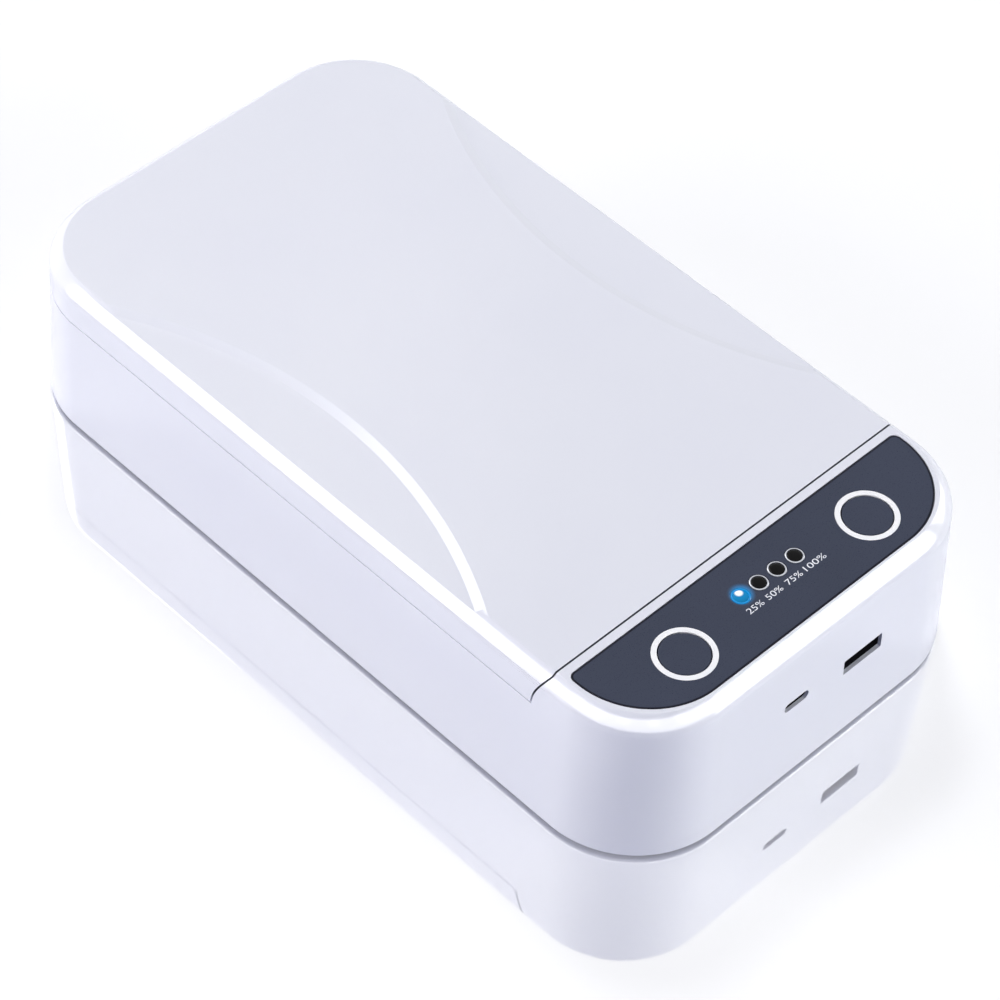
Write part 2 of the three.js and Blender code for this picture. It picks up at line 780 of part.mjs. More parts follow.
// Thin glossy panel let into the deck
function controlPanel() {
  const bottom = bodyHeight - panelThickness;
  const buttonHoles = buttonPlaces.map((x) => post(
    x, buttonY, ringRadius + fit, bottom - overrun, bodyHeight + overrun, roundSteps));
  const lightHoles = lightPlaces.map(([x, y]) => post(
    x, y, lightRadius + fit + bezelWidth + fit, bottom - overrun, bodyHeight + overrun));
  return cut(raised(panelShape(0), bottom, bodyHeight), ...buttonHoles, ...lightHoles);
}

// White ring let into the panel round a button
function buttonRing(x) {
  const bottom = bodyHeight - panelThickness;
  return cut(
    post(x, buttonY, ringRadius, bottom, bodyHeight, roundSteps),
    post(x, buttonY, ringRadius - ringStroke, bottom - overrun, bodyHeight + overrun, roundSteps));
}

// Button cap with a stop flange under the deck and a stem into its switch
function buttonCap(x) {
  const flangeTop = deckUnderside - run;
  const flangeBottomZ = flangeTop - buttonFlangeThickness;
  return turned(x, buttonY, [
    [0, boardTop + switchHeight - stemDip], [stemRadius, boardTop + switchHeight - stemDip],
    [stemRadius, flangeBottomZ], [buttonRadius + buttonFlange, flangeBottomZ],
    [buttonRadius + buttonFlange, flangeTop], [buttonRadius, flangeTop],
    [buttonRadius, bodyHeight - buttonEdge], [buttonRadius - buttonEdge, bodyHeight],
    [0, bodyHeight],
  ], roundSteps);
}

// Square push switch with an open well that takes the stem and its travel
function pushSwitch(x) {
  const wellBottom = boardTop + switchHeight - stemDip - buttonTravel - run;
  return cut(
    slab(x, buttonY, switchWidth, switchWidth, boardTop + seat, boardTop + switchHeight),
    post(x, buttonY, stemRadius + run, wellBottom, bodyHeight, coarseSteps));
}

// Clear light with a thin stem that stands over its diode
function batteryLight([x, y]) {
  return turned(x, y, [
    [0, boardTop + diodeHeight + run], [lightStemRadius, boardTop + diodeHeight + run],
    [lightStemRadius, pocketFloor + seat], [lightRadius, pocketFloor + seat],
    [lightRadius, bodyHeight - buttonEdge], [lightRadius - buttonEdge, bodyHeight],
    [0, bodyHeight],
  ], coarseSteps);
}

function lightBezel([x, y]) {
  const inner = lightRadius + fit;
  return cut(
    post(x, y, inner + bezelWidth, pocketFloor + seat, bodyHeight + bezelRise),
    post(x, y, inner, pocketFloor - overrun, bodyHeight + overrun));
}

// Board under the deck, with the diodes and small parts on it
const controlBoardY0 = frontY + wall + controlBoardFront - seat;
const controlBoardY1 = baseSeamY - bulkhead - controlBoardBack;

function controlBoard() {
  const half = buttonSpread + switchWidth / 2 + controlBoardEndRoom;
  const plate = block(-half, half, controlBoardY0, controlBoardY1, boardBottom, boardTop);
  const diodes = lightPlaces.map(([x, y]) => slab(
    x, y, diodeWidth, diodeWidth, boardTop - fuse, boardTop + diodeHeight));
  const chip = slab(
    (boardBossSpread + buttonSpread - switchWidth / 2) / 2, buttonY, diodeWidth, switchWidth,
    boardTop - fuse, boardTop + diodeHeight);
  const bores = boardBossPlaces.map((x) => post(
    x, boardBossY, screwRadius + fit, boardBottom - overrun, boardTop + overrun, coarseSteps));
  return cut(join(plate, ...diodes, chip), ...bores);
}

// Sockets hang under the board, open to the front
function outputShell() {
  const body = block(
    outputX - outputWidth / 2 - socketSheet, outputX + outputWidth / 2 + socketSheet,
    socketFrontY, socketFrontY + outputDepth,
    outputZ - outputHeight / 2 - socketSheet, boardBottom - seat);
  const mouth = block(
    outputX - outputWidth / 2, outputX + outputWidth / 2,
    socketFrontY - overrun, socketFrontY + outputDepth - socketSheet,
    outputZ - outputHeight / 2, outputZ + outputHeight / 2);
  return cut(body, mouth);
}

function outputTongue() {
  const bottom = outputZ - outputHeight / 2 + outputTongueLift;
  return block(
    outputX - outputTongueWidth / 2, outputX + outputTongueWidth / 2,
    socketFrontY + tongueSetback, socketFrontY + outputDepth - socketSheet - seat,
    bottom, bottom + outputTongueHeight);
}

function chargeShell() {
  const half = chargeWidth / 2 + socketSheet;
  const back = socketFrontY + chargeDepth;
  const tube = pillCut(
    chargeX, chargeZ, 2 * half, chargeHeight + 2 * socketSheet, socketFrontY, back);
  const bridge = block(
    chargeX - half + chargeHeight / 2, chargeX + half - chargeHeight / 2, socketFrontY, back,
    chargeZ, boardBottom - seat);
  const mouth = pillCut(
    chargeX, chargeZ, chargeWidth, chargeHeight, socketFrontY - overrun, back - socketSheet);
  return cut(join(tube, bridge), mouth);
}

function chargeTongue() {
  return block(
    chargeX - chargeTongueWidth / 2, chargeX + chargeTongueWidth / 2,
    socketFrontY + tongueSetback / 2, socketFrontY + chargeDepth - socketSheet - seat,
    chargeZ - chargeTongueHeight / 2, chargeZ + chargeTongueHeight / 2);
}

// Screw with a round head below and a cross recess, its shank pointing up
function screw(x, y, headBottom, length, headHeight = screwHeadHeight) {
  const headTop = headBottom + headHeight;
  const drive = Math.min(driveDepth, headHeight / 2);
  const body = turned(x, y, [
    [0, headBottom], [screwHeadRadius - drive, headBottom],
    [screwHeadRadius, headBottom + drive], [screwHeadRadius, headTop], [screwRadius, headTop],
    [screwRadius, headTop + length - screwRadius], [0, headTop + length],
  ], coarseSteps);
  const reach = screwHeadRadius;
  return cut(
    body,
    slab(x, y, driveWidth, reach, headBottom - overrun, headBottom + drive),
    slab(x, y, reach, driveWidth, headBottom - overrun, headBottom + drive));
}

// Bottom cover: plate with screw seats, foot seats, battery cradle and board standoffs
const footPlaces = fourSigns.map(([sideX, sideY]) => [
  sideX * (bodyWidth / 2 - footSideInset), sideY * (bodyLength / 2 - footEndInset),
]);
const standoffPlaces = fourSigns.map(([sideX, sideY]) => [
  powerBoardX + sideX * (powerBoardWidth / 2 - standoffInset),
  chamberY + sideY * (powerBoardLength / 2 - standoffInset),
]);

function bottomCover() {
  const plate = bodyForm(wall + fit, coverBottom, coverTop);
  const cradleSize = (growth) => slab(
    packX, chamberY, packWidth + 2 * (fit + growth), packLength + 2 * (fit + growth),
    coverTop - fuse, coverTop + cradleHeight);
  const cradle = cut(
    cradleSize(cradleWall),
    slab(packX, chamberY, packWidth + 2 * fit, packLength + 2 * fit, coverTop, bodyHeight));
  const standoffs = standoffPlaces.map(([x, y]) => post(
    x, y, standoffRadius, coverTop - fuse, coverTop + standoffHeight, coarseSteps));
  const footSeats = footPlaces.map(([x, y]) => post(
    x, y, footRadius + fit, -overrun, coverBottom + footSeatDepth));
  const screwSeats = fourSigns.map(([sideX, sideY]) => join(
    post(sideX * cornerBossX, sideY * cornerBossY, screwRadius + fit, -overrun, bodyHeight, coarseSteps),
    post(sideX * cornerBossX, sideY * cornerBossY, screwHeadRadius + run, -overrun, coverScrewHeadTop),
  ));
  return cut(join(plate, cradle, ...standoffs), ...footSeats, ...screwSeats);
}

function foot([x, y]) {
  const top = coverBottom + footSeatDepth - seat;
  return turned(x, y, [
    [0, 0], [footRadius - footEdge, 0], [footRadius, footEdge], [footRadius, top], [0, top],
  ]);
}

function batteryPack() {
  return roundedBox({
    x: packX, y: chamberY, width: packWidth, length: packLength, radius: packCorner,
    bottom: coverTop + seat, top: coverTop + seat + packHeight,
    bottomRound: packEdge, topRound: packEdge, steps: 2,
  });
}

// Power board on its standoffs, with a row of plain components
const powerBoardBottom = coverTop + standoffHeight + seat;
const powerBoardTop = powerBoardBottom + boardThickness;

function powerBoard() {
  const plate = slab(
    powerBoardX, chamberY, powerBoardWidth, powerBoardLength, powerBoardBottom, powerBoardTop);
  const step = powerBoardLength / 6;
  const components = [-2, -1, 2].map((place) => slab(
    powerBoardX, chamberY + place * step, coreLength, step / 2,
    powerBoardTop - fuse, powerBoardTop + componentHeight));
  return join(plate, ...components);
}

// Lamp transformer: a ferrite frame round its winding
function transformer() {
  const y = chamberY + powerBoardLength / 12;
  const top = powerBoardTop + seat + coreHeight;
  const frame = cut(
    slab(powerBoardX, y, coreWidth, coreLength, powerBoardTop + seat, top),
    slab(powerBoardX, y, coreWidth - 2 * coreLimb, coreLength - 2 * coreLimb, 0, bodyHeight));
  const winding = crossRod(
    powerBoardX, y, powerBoardTop + seat + windingRadius, windingRadius, coreWidth - coreLimb);
  return join(frame, winding);
}

// Leads that run inside the case between the pack and the boards
const leadZ = powerBoardBottom - seat - leadRadius;

function lead(points) {
  const path = new THREE.CatmullRomCurve3(points.map(([x, y, z]) => new THREE.Vector3(x, y, z)));
  const section = new THREE.Shape(Array.from({ length: leadSides }, (_, side) => {
    const angle = 4 * quarter * side / leadSides;
    return new THREE.Vector2(leadRadius * Math.cos(angle), leadRadius * Math.sin(angle));
  }));
  return solidOf(new THREE.ExtrudeGeometry(section, { steps: leadSteps, extrudePath: path }));
}

function packLead() {
  const packEnd = chamberY - packLength / 2;
  const boardEnd = chamberY - powerBoardLength / 2;
  const packSideX = packX + packWidth / 4;
  const boardSideX = powerBoardX - powerBoardWidth / 4;
  const turnY = Math.min(packEnd, boardEnd) - leadBend;
  return lead([
    [packSideX, packEnd - run, leadZ],
    [packSideX, turnY + leadBend / 2, leadZ],
    [packSideX + leadBend, turnY, leadZ],
    [boardSideX - leadBend, turnY, leadZ],
    [boardSideX, turnY + leadBend / 2, leadZ],
    [boardSideX, boardEnd + leadTuck, leadZ],
  ]);
}

function boardLead() {
  const x = powerBoardX + powerBoardWidth / 6;
  const start = chamberY - powerBoardLength / 2;
  const risingY = baseSeamY - bulkhead - leadBend;
  return lead([
    [x, start + leadTuck, leadZ],
    [x, (start + risingY) / 2, leadZ],
    [x, risingY + leadBend, leadZ],
    [x, risingY, leadZ + leadBend],
    [x, risingY, (leadZ + boardBottom) / 2],
    [x, risingY, boardBottom - run],
  ]);
}

// Magnets and the lid sensor hang under the front shelf and lie on the lid liner
const magnetY = aromaY;
const magnetSpread = bodyWidth / 2 - magnetInset;

function magnet(side, bottom) {
  return post(side * magnetSpread, magnetY, magnetRadius, bottom, bottom + magnetThickness);
}

function lidSensor() {
  return block(
    aromaLength / 2 + aromaWall + sensorRoom, magnetSpread - magnetRadius - sensorRoom,
    magnetY - sensorWidth / 2, magnetY + sensorWidth / 2,
    flangeBottom - seat - sensorHeight, flangeBottom - seat);
}

// Materials

function finish(color, roughness, metalness, extra = {}) {
  return new THREE.MeshStandardMaterial({ color, roughness, metalness, ...extra });
}

const paleShell = finish('#e4e6f1', 0.32, 0);
const linerWhite = finish('#eef0f4', 0.4, 0);
const panelSlate = finish('#43495a', 0.18, 0);
const ringWhite = finish('#f7f8fb', 0.35, 0);
const lensBlack = finish('#0b0c10', 0.12, 0);
const lensLit = finish('#d8f4ff', 0.2, 0, { emissive: '#1aa3e8' });
const brightMetal = finish('#c9ccd2', 0.25, 1);
const mirrorMetal = finish('#dfe3e8', 0.08, 1);
const lampGlass = finish('#e6ecf6', 0.05, 0);
const silicone = finish('#d7dade', 0.7, 0);
const darkPlastic = finish('#1c1e24', 0.5, 0);
const boardGreen = finish('#1e5a3c', 0.5, 0);
const ferrite = finish('#3b3a3c', 0.8, 0);
const packBlue = finish('#2d4f8e', 0.45, 0);
const rubberGrey = finish('#6d7078', 0.85, 0);
const feltCream = finish('#efe9dc', 0.95, 0);
const leadRed = finish('#b3262a', 0.5, 0);
const screwSteel = finish('#8d9096', 0.3, 1);

// Assembly

const box = new THREE.Group();
const base = new THREE.Group();
const lid = new THREE.Group();
const buttons = new THREE.Group();
box.add(base, lid, buttons);
box.position.y = -hingeOverhang / 2;

function put(group, name, solid, material) {
  const mesh = new THREE.Mesh(geometryOf(solid), material);
  mesh.name = name;
  group.add(mesh);
}

const sideNames = ['left', 'right'];
const endNames = ['front', 'rear'];

put(base, 'base_shell', baseShell(), paleShell);
put(base, 'bottom_cover', bottomCover(), paleShell);
put(base, 'chamber_liner', chamberLiner(), linerWhite);
put(base, 'lower_reflector', reflector(troughFloor + seat, lowerReflectorRise, 1, 0), mirrorMetal);
put(base, 'lower_lamp', lamp(lowerLampZ), lampGlass);
put(base, 'lamp_guard', lampGuard(), linerWhite);
put(base, 'aroma_pad', aromaPad(), feltCream);
put(base, 'aroma_cover', aromaCover(), linerWhite);
put(base, 'control_panel', controlPanel(), panelSlate);
put(base, 'control_board', controlBoard(), boardGreen);
put(base, 'usb_output_shell', outputShell(), brightMetal);
put(base, 'usb_output_tongue', outputTongue(), darkPlastic);
put(base, 'charge_socket_shell', chargeShell(), brightMetal);
put(base, 'charge_socket_tongue', chargeTongue(), darkPlastic);
put(base, 'battery_pack', batteryPack(), packBlue);
put(base, 'power_board', powerBoard(), boardGreen);
put(base, 'lamp_transformer', transformer(), ferrite);
put(base, 'battery_lead', packLead(), leadRed);
put(base, 'board_lead', boardLead(), leadRed);
put(base, 'lid_sensor', lidSensor(), darkPlastic);

endNames.forEach((name, place) => {
  const end = 2 * place - 1;
  put(base, `lower_lamp_holder_${name}`, lowerHolder(end), silicone);
  put(lid, `upper_lamp_holder_${name}`, upperHolder(end), silicone);
});

lightPlaces.forEach((spot, place) => {
  put(base, `battery_light_${place + 1}`, batteryLight(spot), place ? lensBlack : lensLit);
  put(base, `light_bezel_${place + 1}`, lightBezel(spot), brightMetal);
});

['sterilize', 'aroma'].forEach((name, place) => {
  const x = buttonPlaces[place];
  put(base, `${name}_ring`, buttonRing(x), ringWhite);
  put(base, `${name}_switch`, pushSwitch(x), darkPlastic);
  put(buttons, `${name}_button`, buttonCap(x), panelSlate);
});

fourSigns.forEach(([sideX, sideY], place) => {
  const headBottom = coverScrewHeadTop - seat - screwHeadHeight;
  put(base, `cover_screw_${place + 1}`,
    screw(sideX * cornerBossX, sideY * cornerBossY, headBottom, coverScrewLength - run), screwSteel);
  put(base, `foot_${place + 1}`, foot(footPlaces[place]), rubberGrey);
});

sideNames.forEach((name, place) => {
  const side = 2 * place - 1;
  const boardScrewHead = boardBottom - seat - screwHeadHeight;
  const [linerScrewX, linerScrewY] = linerScrewPlaces[place];
  const linerHead = linerTop - linerSkin - seat - linerHeadHeight;
  put(base, `hinge_pin_${name}`,
    crossRod(hingePlaces[place], hingeY, hingeZ, hingePinRadius, hingeSpan, coarseSteps), screwSteel);
  put(base, `base_magnet_${name}`, magnet(side, flangeBottom - seat - magnetThickness), brightMetal);
  put(base, `board_screw_${name}`,
    screw(boardBossPlaces[place], boardBossY, boardScrewHead, boardScrewLength - run), screwSteel);
  put(lid, `lid_magnet_${name}`, magnet(side, linerTop + seat), brightMetal);
  put(lid, `liner_screw_${name}`,
    screw(linerScrewX, linerScrewY, linerHead, linerScrewLength - run, linerHeadHeight), screwSteel);
});

put(lid, 'lid_shell', lidShell(), paleShell);
put(lid, 'lid_liner', lidLiner(), linerWhite);
put(lid, 'lid_reflector',
  reflector(lidUnderside - run, lidUnderside - run - linerTop - seat, -1, reflectorFoot), mirrorMetal);
put(lid, 'upper_lamp', lamp(upperLampZ), lampGlass);

export default box;
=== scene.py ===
"""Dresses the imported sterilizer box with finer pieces, finishes, studio light and a camera.

Every size is in millimetres in the part's own frame, +Z up, with the control deck at -Y.
"""

import logging
import math
from dataclasses import dataclass
from enum import Enum, IntEnum
from typing import Callable, Iterable, Sequence

import bmesh
import bpy
from mathutils import Matrix, Vector


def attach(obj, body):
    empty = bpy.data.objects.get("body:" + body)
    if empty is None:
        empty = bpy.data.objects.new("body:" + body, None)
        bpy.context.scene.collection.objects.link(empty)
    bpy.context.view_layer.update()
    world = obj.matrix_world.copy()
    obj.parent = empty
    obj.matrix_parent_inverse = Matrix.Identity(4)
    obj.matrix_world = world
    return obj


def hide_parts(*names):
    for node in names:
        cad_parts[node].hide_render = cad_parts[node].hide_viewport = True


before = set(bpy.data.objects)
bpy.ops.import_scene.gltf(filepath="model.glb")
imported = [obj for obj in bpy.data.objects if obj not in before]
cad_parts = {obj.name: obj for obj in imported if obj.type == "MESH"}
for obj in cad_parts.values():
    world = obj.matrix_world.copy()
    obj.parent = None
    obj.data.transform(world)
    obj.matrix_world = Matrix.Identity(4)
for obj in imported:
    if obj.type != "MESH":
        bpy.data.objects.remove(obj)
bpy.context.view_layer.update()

Plan = tuple[float, float]
Spot = tuple[float, float, float]
Faces = list[list[int]]

log = logging.getLogger("sterilizer_box")

MM = 0.001
QUARTER = math.pi / 2
OVERRUN = 10.0  # how far a cutter reaches past the box
FUSE = 0.4  # how far a joined form reaches into its neighbour
HAIR = 0.01
SPECK = 1e-4
LEAST_RADIUS = 0.2
LEAST_ROUGHNESS = 0.02
COAT_ROUGHNESS = 0.08
PILOT = 1.35  # radius of the holes that screws bite into
ENDS = (("front", -1), ("rear", 1))
SIDES = (("left", -1), ("right", 1))


class Body(Enum):
    """The bodies that move on their own."""

    BASE = "base"
    LID = "lid"
    STERILIZE = "sterilize_button"
    AROMA = "aroma_button"


class Merge(Enum):
    """How two blanks are put together."""

    JOIN = "UNION"
    CUT = "DIFFERENCE"
    MEET = "INTERSECT"



class Axis(IntEnum):
    """The axes that a form is run along or turned about."""

    X = 0
    Y = 1
    Z = 2

    def stand(self, a: float, b: float, level: float) -> Spot:
        """The point at a and b in a section that stands across the axis at a level."""
        return ((level, a, b), (a, level, b), (a, b, level))[self]


# Finishes


def linear(code: str) -> tuple[float, float, float, float]:
    """A screen colour as the shader wants it.

    Args:
        code: Six hexadecimal digits.

    Returns:
        Linear red, green and blue, with a full alpha.
    """
    channels = [int(code[place:place + 2], 16) / 255 for place in (0, 2, 4)]
    curved = [c / 12.92 if c <= 0.04045 else ((c + 0.055) / 1.055) ** 2.4 for c in channels]
    return (*curved, 1.0)


Output = bpy.types.NodeSocket


class Board:
    """A node tree, with short ways to lay and wire its nodes."""

    def __init__(self, owner: bpy.types.Material | bpy.types.World) -> None:
        """Empties the tree of a material or a world."""
        owner.use_nodes = True
        self.tree = owner.node_tree
        self.tree.nodes.clear()

    def feed(self, socket: Output, value: object) -> None:
        """Gives an input its value, or wires it where the value is another node's output."""
        if isinstance(value, Output):
            self.tree.links.new(value, socket)
        else:
            socket.default_value = value

    def give(self, node: bpy.types.Node, **values: object) -> bpy.types.Node:
        """Gives a node its inputs and settings.

        Args:
            node: The node.
            values: Inputs by their names, with _ for a space, or the node's own settings.

        Returns:
            The node.
        """
        for key, value in values.items():
            title = key.replace("_", " ")
            if title in node.inputs:
                self.feed(node.inputs[title], value)
            else:
                setattr(node, key, value)
        return node

    def lay(self, kind: str, **values: object) -> bpy.types.Node:
        """Adds a shader node of a kind, with its inputs and settings."""
        return self.give(self.tree.nodes.new(f"ShaderNode{kind}"), **values)

    def chain(self, kind: str, *values: object, out: int | str = 0, **settings: object) -> Output:
        """Adds a node and feeds its inputs in their order.

        Args:
            kind: The kind of node.
            values: Values or outputs for its first inputs.
            out: The output to hand on.
            settings: Its settings.

        Returns:
            That output.
        """
        node = self.lay(kind, **settings)
        for socket, value in zip(node.inputs, values):
            self.feed(socket, value)
        return node.outputs[out]

    def reckon(self, operation: str, *values: object) -> Output:
        """The outcome of a sum on values or outputs."""
        return self.chain("Math", *values, operation=operation)

    def in_sight(self) -> Output:
        """1 on the way to the camera, also in gloss or through glass, and 0 elsewhere."""
        paths = self.lay("LightPath").outputs
        seen = self.reckon("MAXIMUM", paths["Is Camera Ray"], paths["Is Glossy Ray"])
        return self.reckon("MAXIMUM", seen, paths["Is Transmission Ray"])


class Paint(Board):
    """The tree of a new material with one surface shader."""

    def __init__(self, name: str) -> None:
        """Opens the material."""
        self.material = bpy.data.materials.new(name)
        super().__init__(self.material)
        self.shader = self.lay("BsdfPrincipled")
        self.output = self.lay("OutputMaterial", Surface=self.shader.outputs["BSDF"])
        self.places = self.lay("TexCoord").outputs["Object"]

    def grid(self, sizes: Iterable[float]) -> Output:
        """Places on the piece, counted in steps of these sizes along X, Y and Z."""
        scale = [1 / (size * MM) for size in sizes]
        return self.lay("Mapping", Vector=self.places, Scale=scale).outputs["Vector"]

    def noise(self, grain: float, detail: float, stretch: Spot) -> Output:
        """The level of a noise pattern fixed to the piece.

        Args:
            grain: Size of its spots, in millimetres.
            detail: How many finer octaves it has.
            stretch: How far the spots are drawn out along X, Y and Z.

        Returns:
            The level.
        """
        places = self.grid(grain * share for share in stretch)
        return self.lay("TexNoise", Vector=places, Scale=1.0, Detail=detail).outputs["Fac"]

    def spread(self, level: Output, low: float, high: float, start: float = 0.3, end: float = 0.7,
               soft: bool = False) -> Output:
        """A value that runs from low to high as a level runs from start to end.

        Args:
            level: The level.
            low: Value at the start.
            high: Value at the end.
            start: Lowest level that counts.
            end: Highest level that counts.
            soft: Whether the run eases in and out.

        Returns:
            The value.
        """
        return self.lay("MapRange", interpolation_type="SMOOTHSTEP" if soft else "LINEAR", Value=level,
                        From_Min=start, From_Max=end, To_Min=low, To_Max=high).outputs["Result"]

    def tint(self, level: Output, first: str, second: str) -> Output:
        """A colour that runs from first to second as a level runs from 0 to 1."""
        ramp = self.lay("ValToRGB", Fac=level)
        for element, code in zip(ramp.color_ramp.elements, (first, second)):
            element.color = linear(code)
        return ramp.outputs["Color"]

    def relief(self, level: Output, depth: float) -> Output:
        """Raises the surface by a pattern.

        Args:
            level: The pattern.
            depth: Height of the relief, in millimetres.

        Returns:
            The raised surface's direction, for a relief that stands on this one.
        """
        bump = self.lay("Bump", Strength=1.0, Distance=depth * MM, Height=level)
        self.give(self.shader, Normal=bump.outputs["Normal"])
        return bump.outputs["Normal"]


@dataclass(frozen=True)
class Finish:
    """A finish with a soft change of colour, an uneven gloss and a fine grain.

    Colour runs to shade in soft patches, roughness varies by uneven either way, and the grain stands up by
    relief. Patch, grain and relief are in millimetres.
    """

    name: str
    slot: str
    color: str
    shade: str
    roughness: float
    uneven: float
    patch: float
    grain: float
    relief: float
    metallic: float = 0.0
    coat: float = 0.0
    stretch: Spot = (1.0, 1.0, 1.0)
    specular: float = 0.5

    def material(self) -> bpy.types.Material:
        """The finish's material, made once."""
        return bpy.data.materials.get(self.name) or self.paint()

    def paint(self) -> bpy.types.Material:
        """Builds the material."""
        board = Paint(self.name)
        patches = board.spread(board.noise(self.patch, 2.0, self.stretch), 0.0, 1.0)
        grain = board.noise(self.grain, 4.0, self.stretch)
        smooth = max(self.roughness - self.uneven, LEAST_ROUGHNESS)
        board.give(
            board.shader, Metallic=self.metallic, Coat_Weight=self.coat, Coat_Roughness=COAT_ROUGHNESS,
            Specular_IOR_Level=self.specular, Base_Color=board.tint(patches, self.color, self.shade),
            Roughness=board.spread(grain, smooth, self.roughness + self.uneven))
        board.relief(grain, self.relief)
        self.add(board)
        return board.material

    def add(self, board: Paint) -> None:
        """Adds what this kind of finish has beyond the plain one."""


@dataclass(frozen=True)
class LampAndPaintedGlowFinish(Finish):
    """A finish that also gives off light, strongest at one spot and with a core of its own colour: the lit
    lens's own glow, or painted glow of that light on the film and bezel round it.
    """

    glow: str = "0088cc"
    core: str = "0098dc"
    strength: float = 1.0
    spot: Spot = (0.0, 0.0, 0.0)
    hold: float = 1.5
    reach: float = 3.5
    core_reach: float = 2.0
    core_hold: float = 0.45

    def add(self, board: Paint) -> None:
        """Adds light that fades with the distance from the spot; on the film and bezel it is painted glow."""
        spot, end = [value * MM for value in self.spot], self.core_reach * MM
        away = board.chain("VectorMath", board.places, spot, out="Value", operation="DISTANCE")
        near = board.spread(away, 1.0, 0.0, self.hold * MM, self.reach * MM, soft=True)
        core = board.spread(away, 1.0, 0.0, end * self.core_hold, end, soft=True)
        board.give(board.shader, Emission_Color=board.tint(core, self.glow, self.core),
                   Emission_Strength=board.reckon("MULTIPLY", near, self.strength))


@dataclass(frozen=True)
class SeamShadeFinish(Finish):
    """The shell's finish with painted shade: a dark line along the top edge and down both sides, where the
    seam's gap is shadowed.
    """

    # line: colour of the painted seam shade, darker than the shell
    line: str = "50535f"
    top: float = 44.8
    side: float = 56.2
    side_foot: float = 39.5
    fade: float = 0.3
    foot_fade: float = 2.0

    def add(self, board: Paint) -> None:
        """Adds the dark line of painted seam shade."""
        place = board.lay("SeparateXYZ", Vector=board.places).outputs
        aside = board.reckon("ABSOLUTE", place["X"])
        top, side, foot = (
            board.spread(level, 0.0, 1.0, (end - fade) * MM, end * MM) for level, end, fade in (
                (place["Z"], self.top, self.fade), (aside, self.side, self.fade),
                (place["Z"], self.side_foot, self.foot_fade)))
        whole = board.reckon("MAXIMUM", top, board.reckon("MULTIPLY", side, foot))
        board.give(board.shader, Base_Color=board.tint(whole, self.color, self.line))


@dataclass(frozen=True)
class GlassFinish(Finish):
    """Clear lamp glass with faint drawing lines."""

    def add(self, board: Paint) -> None:
        """Lets the light through."""
        board.give(board.shader, Transmission_Weight=0.92, IOR=1.47)


@dataclass(frozen=True)
class FibreFinish(Finish):
    """Felt or another matted fibre, with a soft sheen."""

    fibre: float = 0.35
    slender: float = 4.0
    thin: float = 0.6
    depth: float = 0.12

    def add(self, board: Paint) -> None:
        """Adds two crossing layers of fibres and the sheen."""
        along = board.noise(self.fibre, 4.0, (self.slender, self.thin, 1.0))
        across = board.noise(self.fibre, 4.0, (self.thin, self.slender, 1.0))
        under = board.relief(along, self.depth)
        over = board.relief(across, self.depth)
        board.feed(over.node.inputs["Normal"], under)
        board.give(board.shader, Sheen_Weight=0.5, Sheen_Roughness=0.5)


@dataclass(frozen=True)
class TracedFinish(Finish):
    """A circuit board's lacquer over copper traces."""

    trace: str = "3f8a62"

    def add(self, board: Paint) -> None:
        """Adds the raised traces and their paler colour."""
        bricks = board.lay(
            "TexBrick", Vector=board.grid((1, 1, 1)), Scale=0.4, Color1=linear(self.color),
            Color2=linear(self.shade), Mortar=linear(self.trace), Mortar_Size=0.06)
        board.give(board.shader, Base_Color=bricks.outputs["Color"])
        board.relief(bricks.outputs["Fac"], 0.03)


PALE_SHELL = Finish("pale_moulded_shell", "pale_shell", "e4e6ef", "e2e4ee", 0.14, 0.02, 40.0, 0.3, 0.0008,
                    specular=1.0)
SEAM_PAINTED_SHADE = SeamShadeFinish("seam_painted_shade", "pale_shell", "e4e6ef", "e2e4ee", 0.3, 0.05, 40.0, 0.3, 0.001,
                       specular=0.3)
LINER_WHITE = Finish("liner_white_plastic", "liner_white", "dee1e8", "d8dbe3",
                     0.42, 0.05, 18.0, 0.35, 0.004)
SLATE = ("panel_slate", "373d4f", "343a4b", 0.3, 0.04, 30.0, 0.25, 0.0008)
BUTTON_SLATE = Finish("button_slate", *SLATE, specular=0.25)
PANEL_EDGE = Finish("panel_edge_ink", "panel_slate", "0a0c1a", "0d0f1e", 0.4, 0.04, 8.0, 0.2, 0.001,
                    specular=0.15)
RING_WHITE = Finish("ring_white_ink", "ring_white", "ffffff", "f8f9fc", 0.4, 0.05, 5.0, 0.15, 0.001)
LABEL_WHITE = Finish("label_white_ink", "ring_white", "f6f7fb", "e9ecf4", 0.45, 0.06, 2.0, 0.1, 0.001)
LENS_BLACK = Finish("lens_black_glass", "lens_black", "020203", "050507", 0.15, 0.04, 1.0, 0.2, 0.0006,
                    specular=0.12)
BEZEL_METAL = Finish("bezel_silver", "bright_metal", "d5d7de", "b9bcc6", 0.3, 0.08, 0.6, 0.1, 0.001, 0.9)
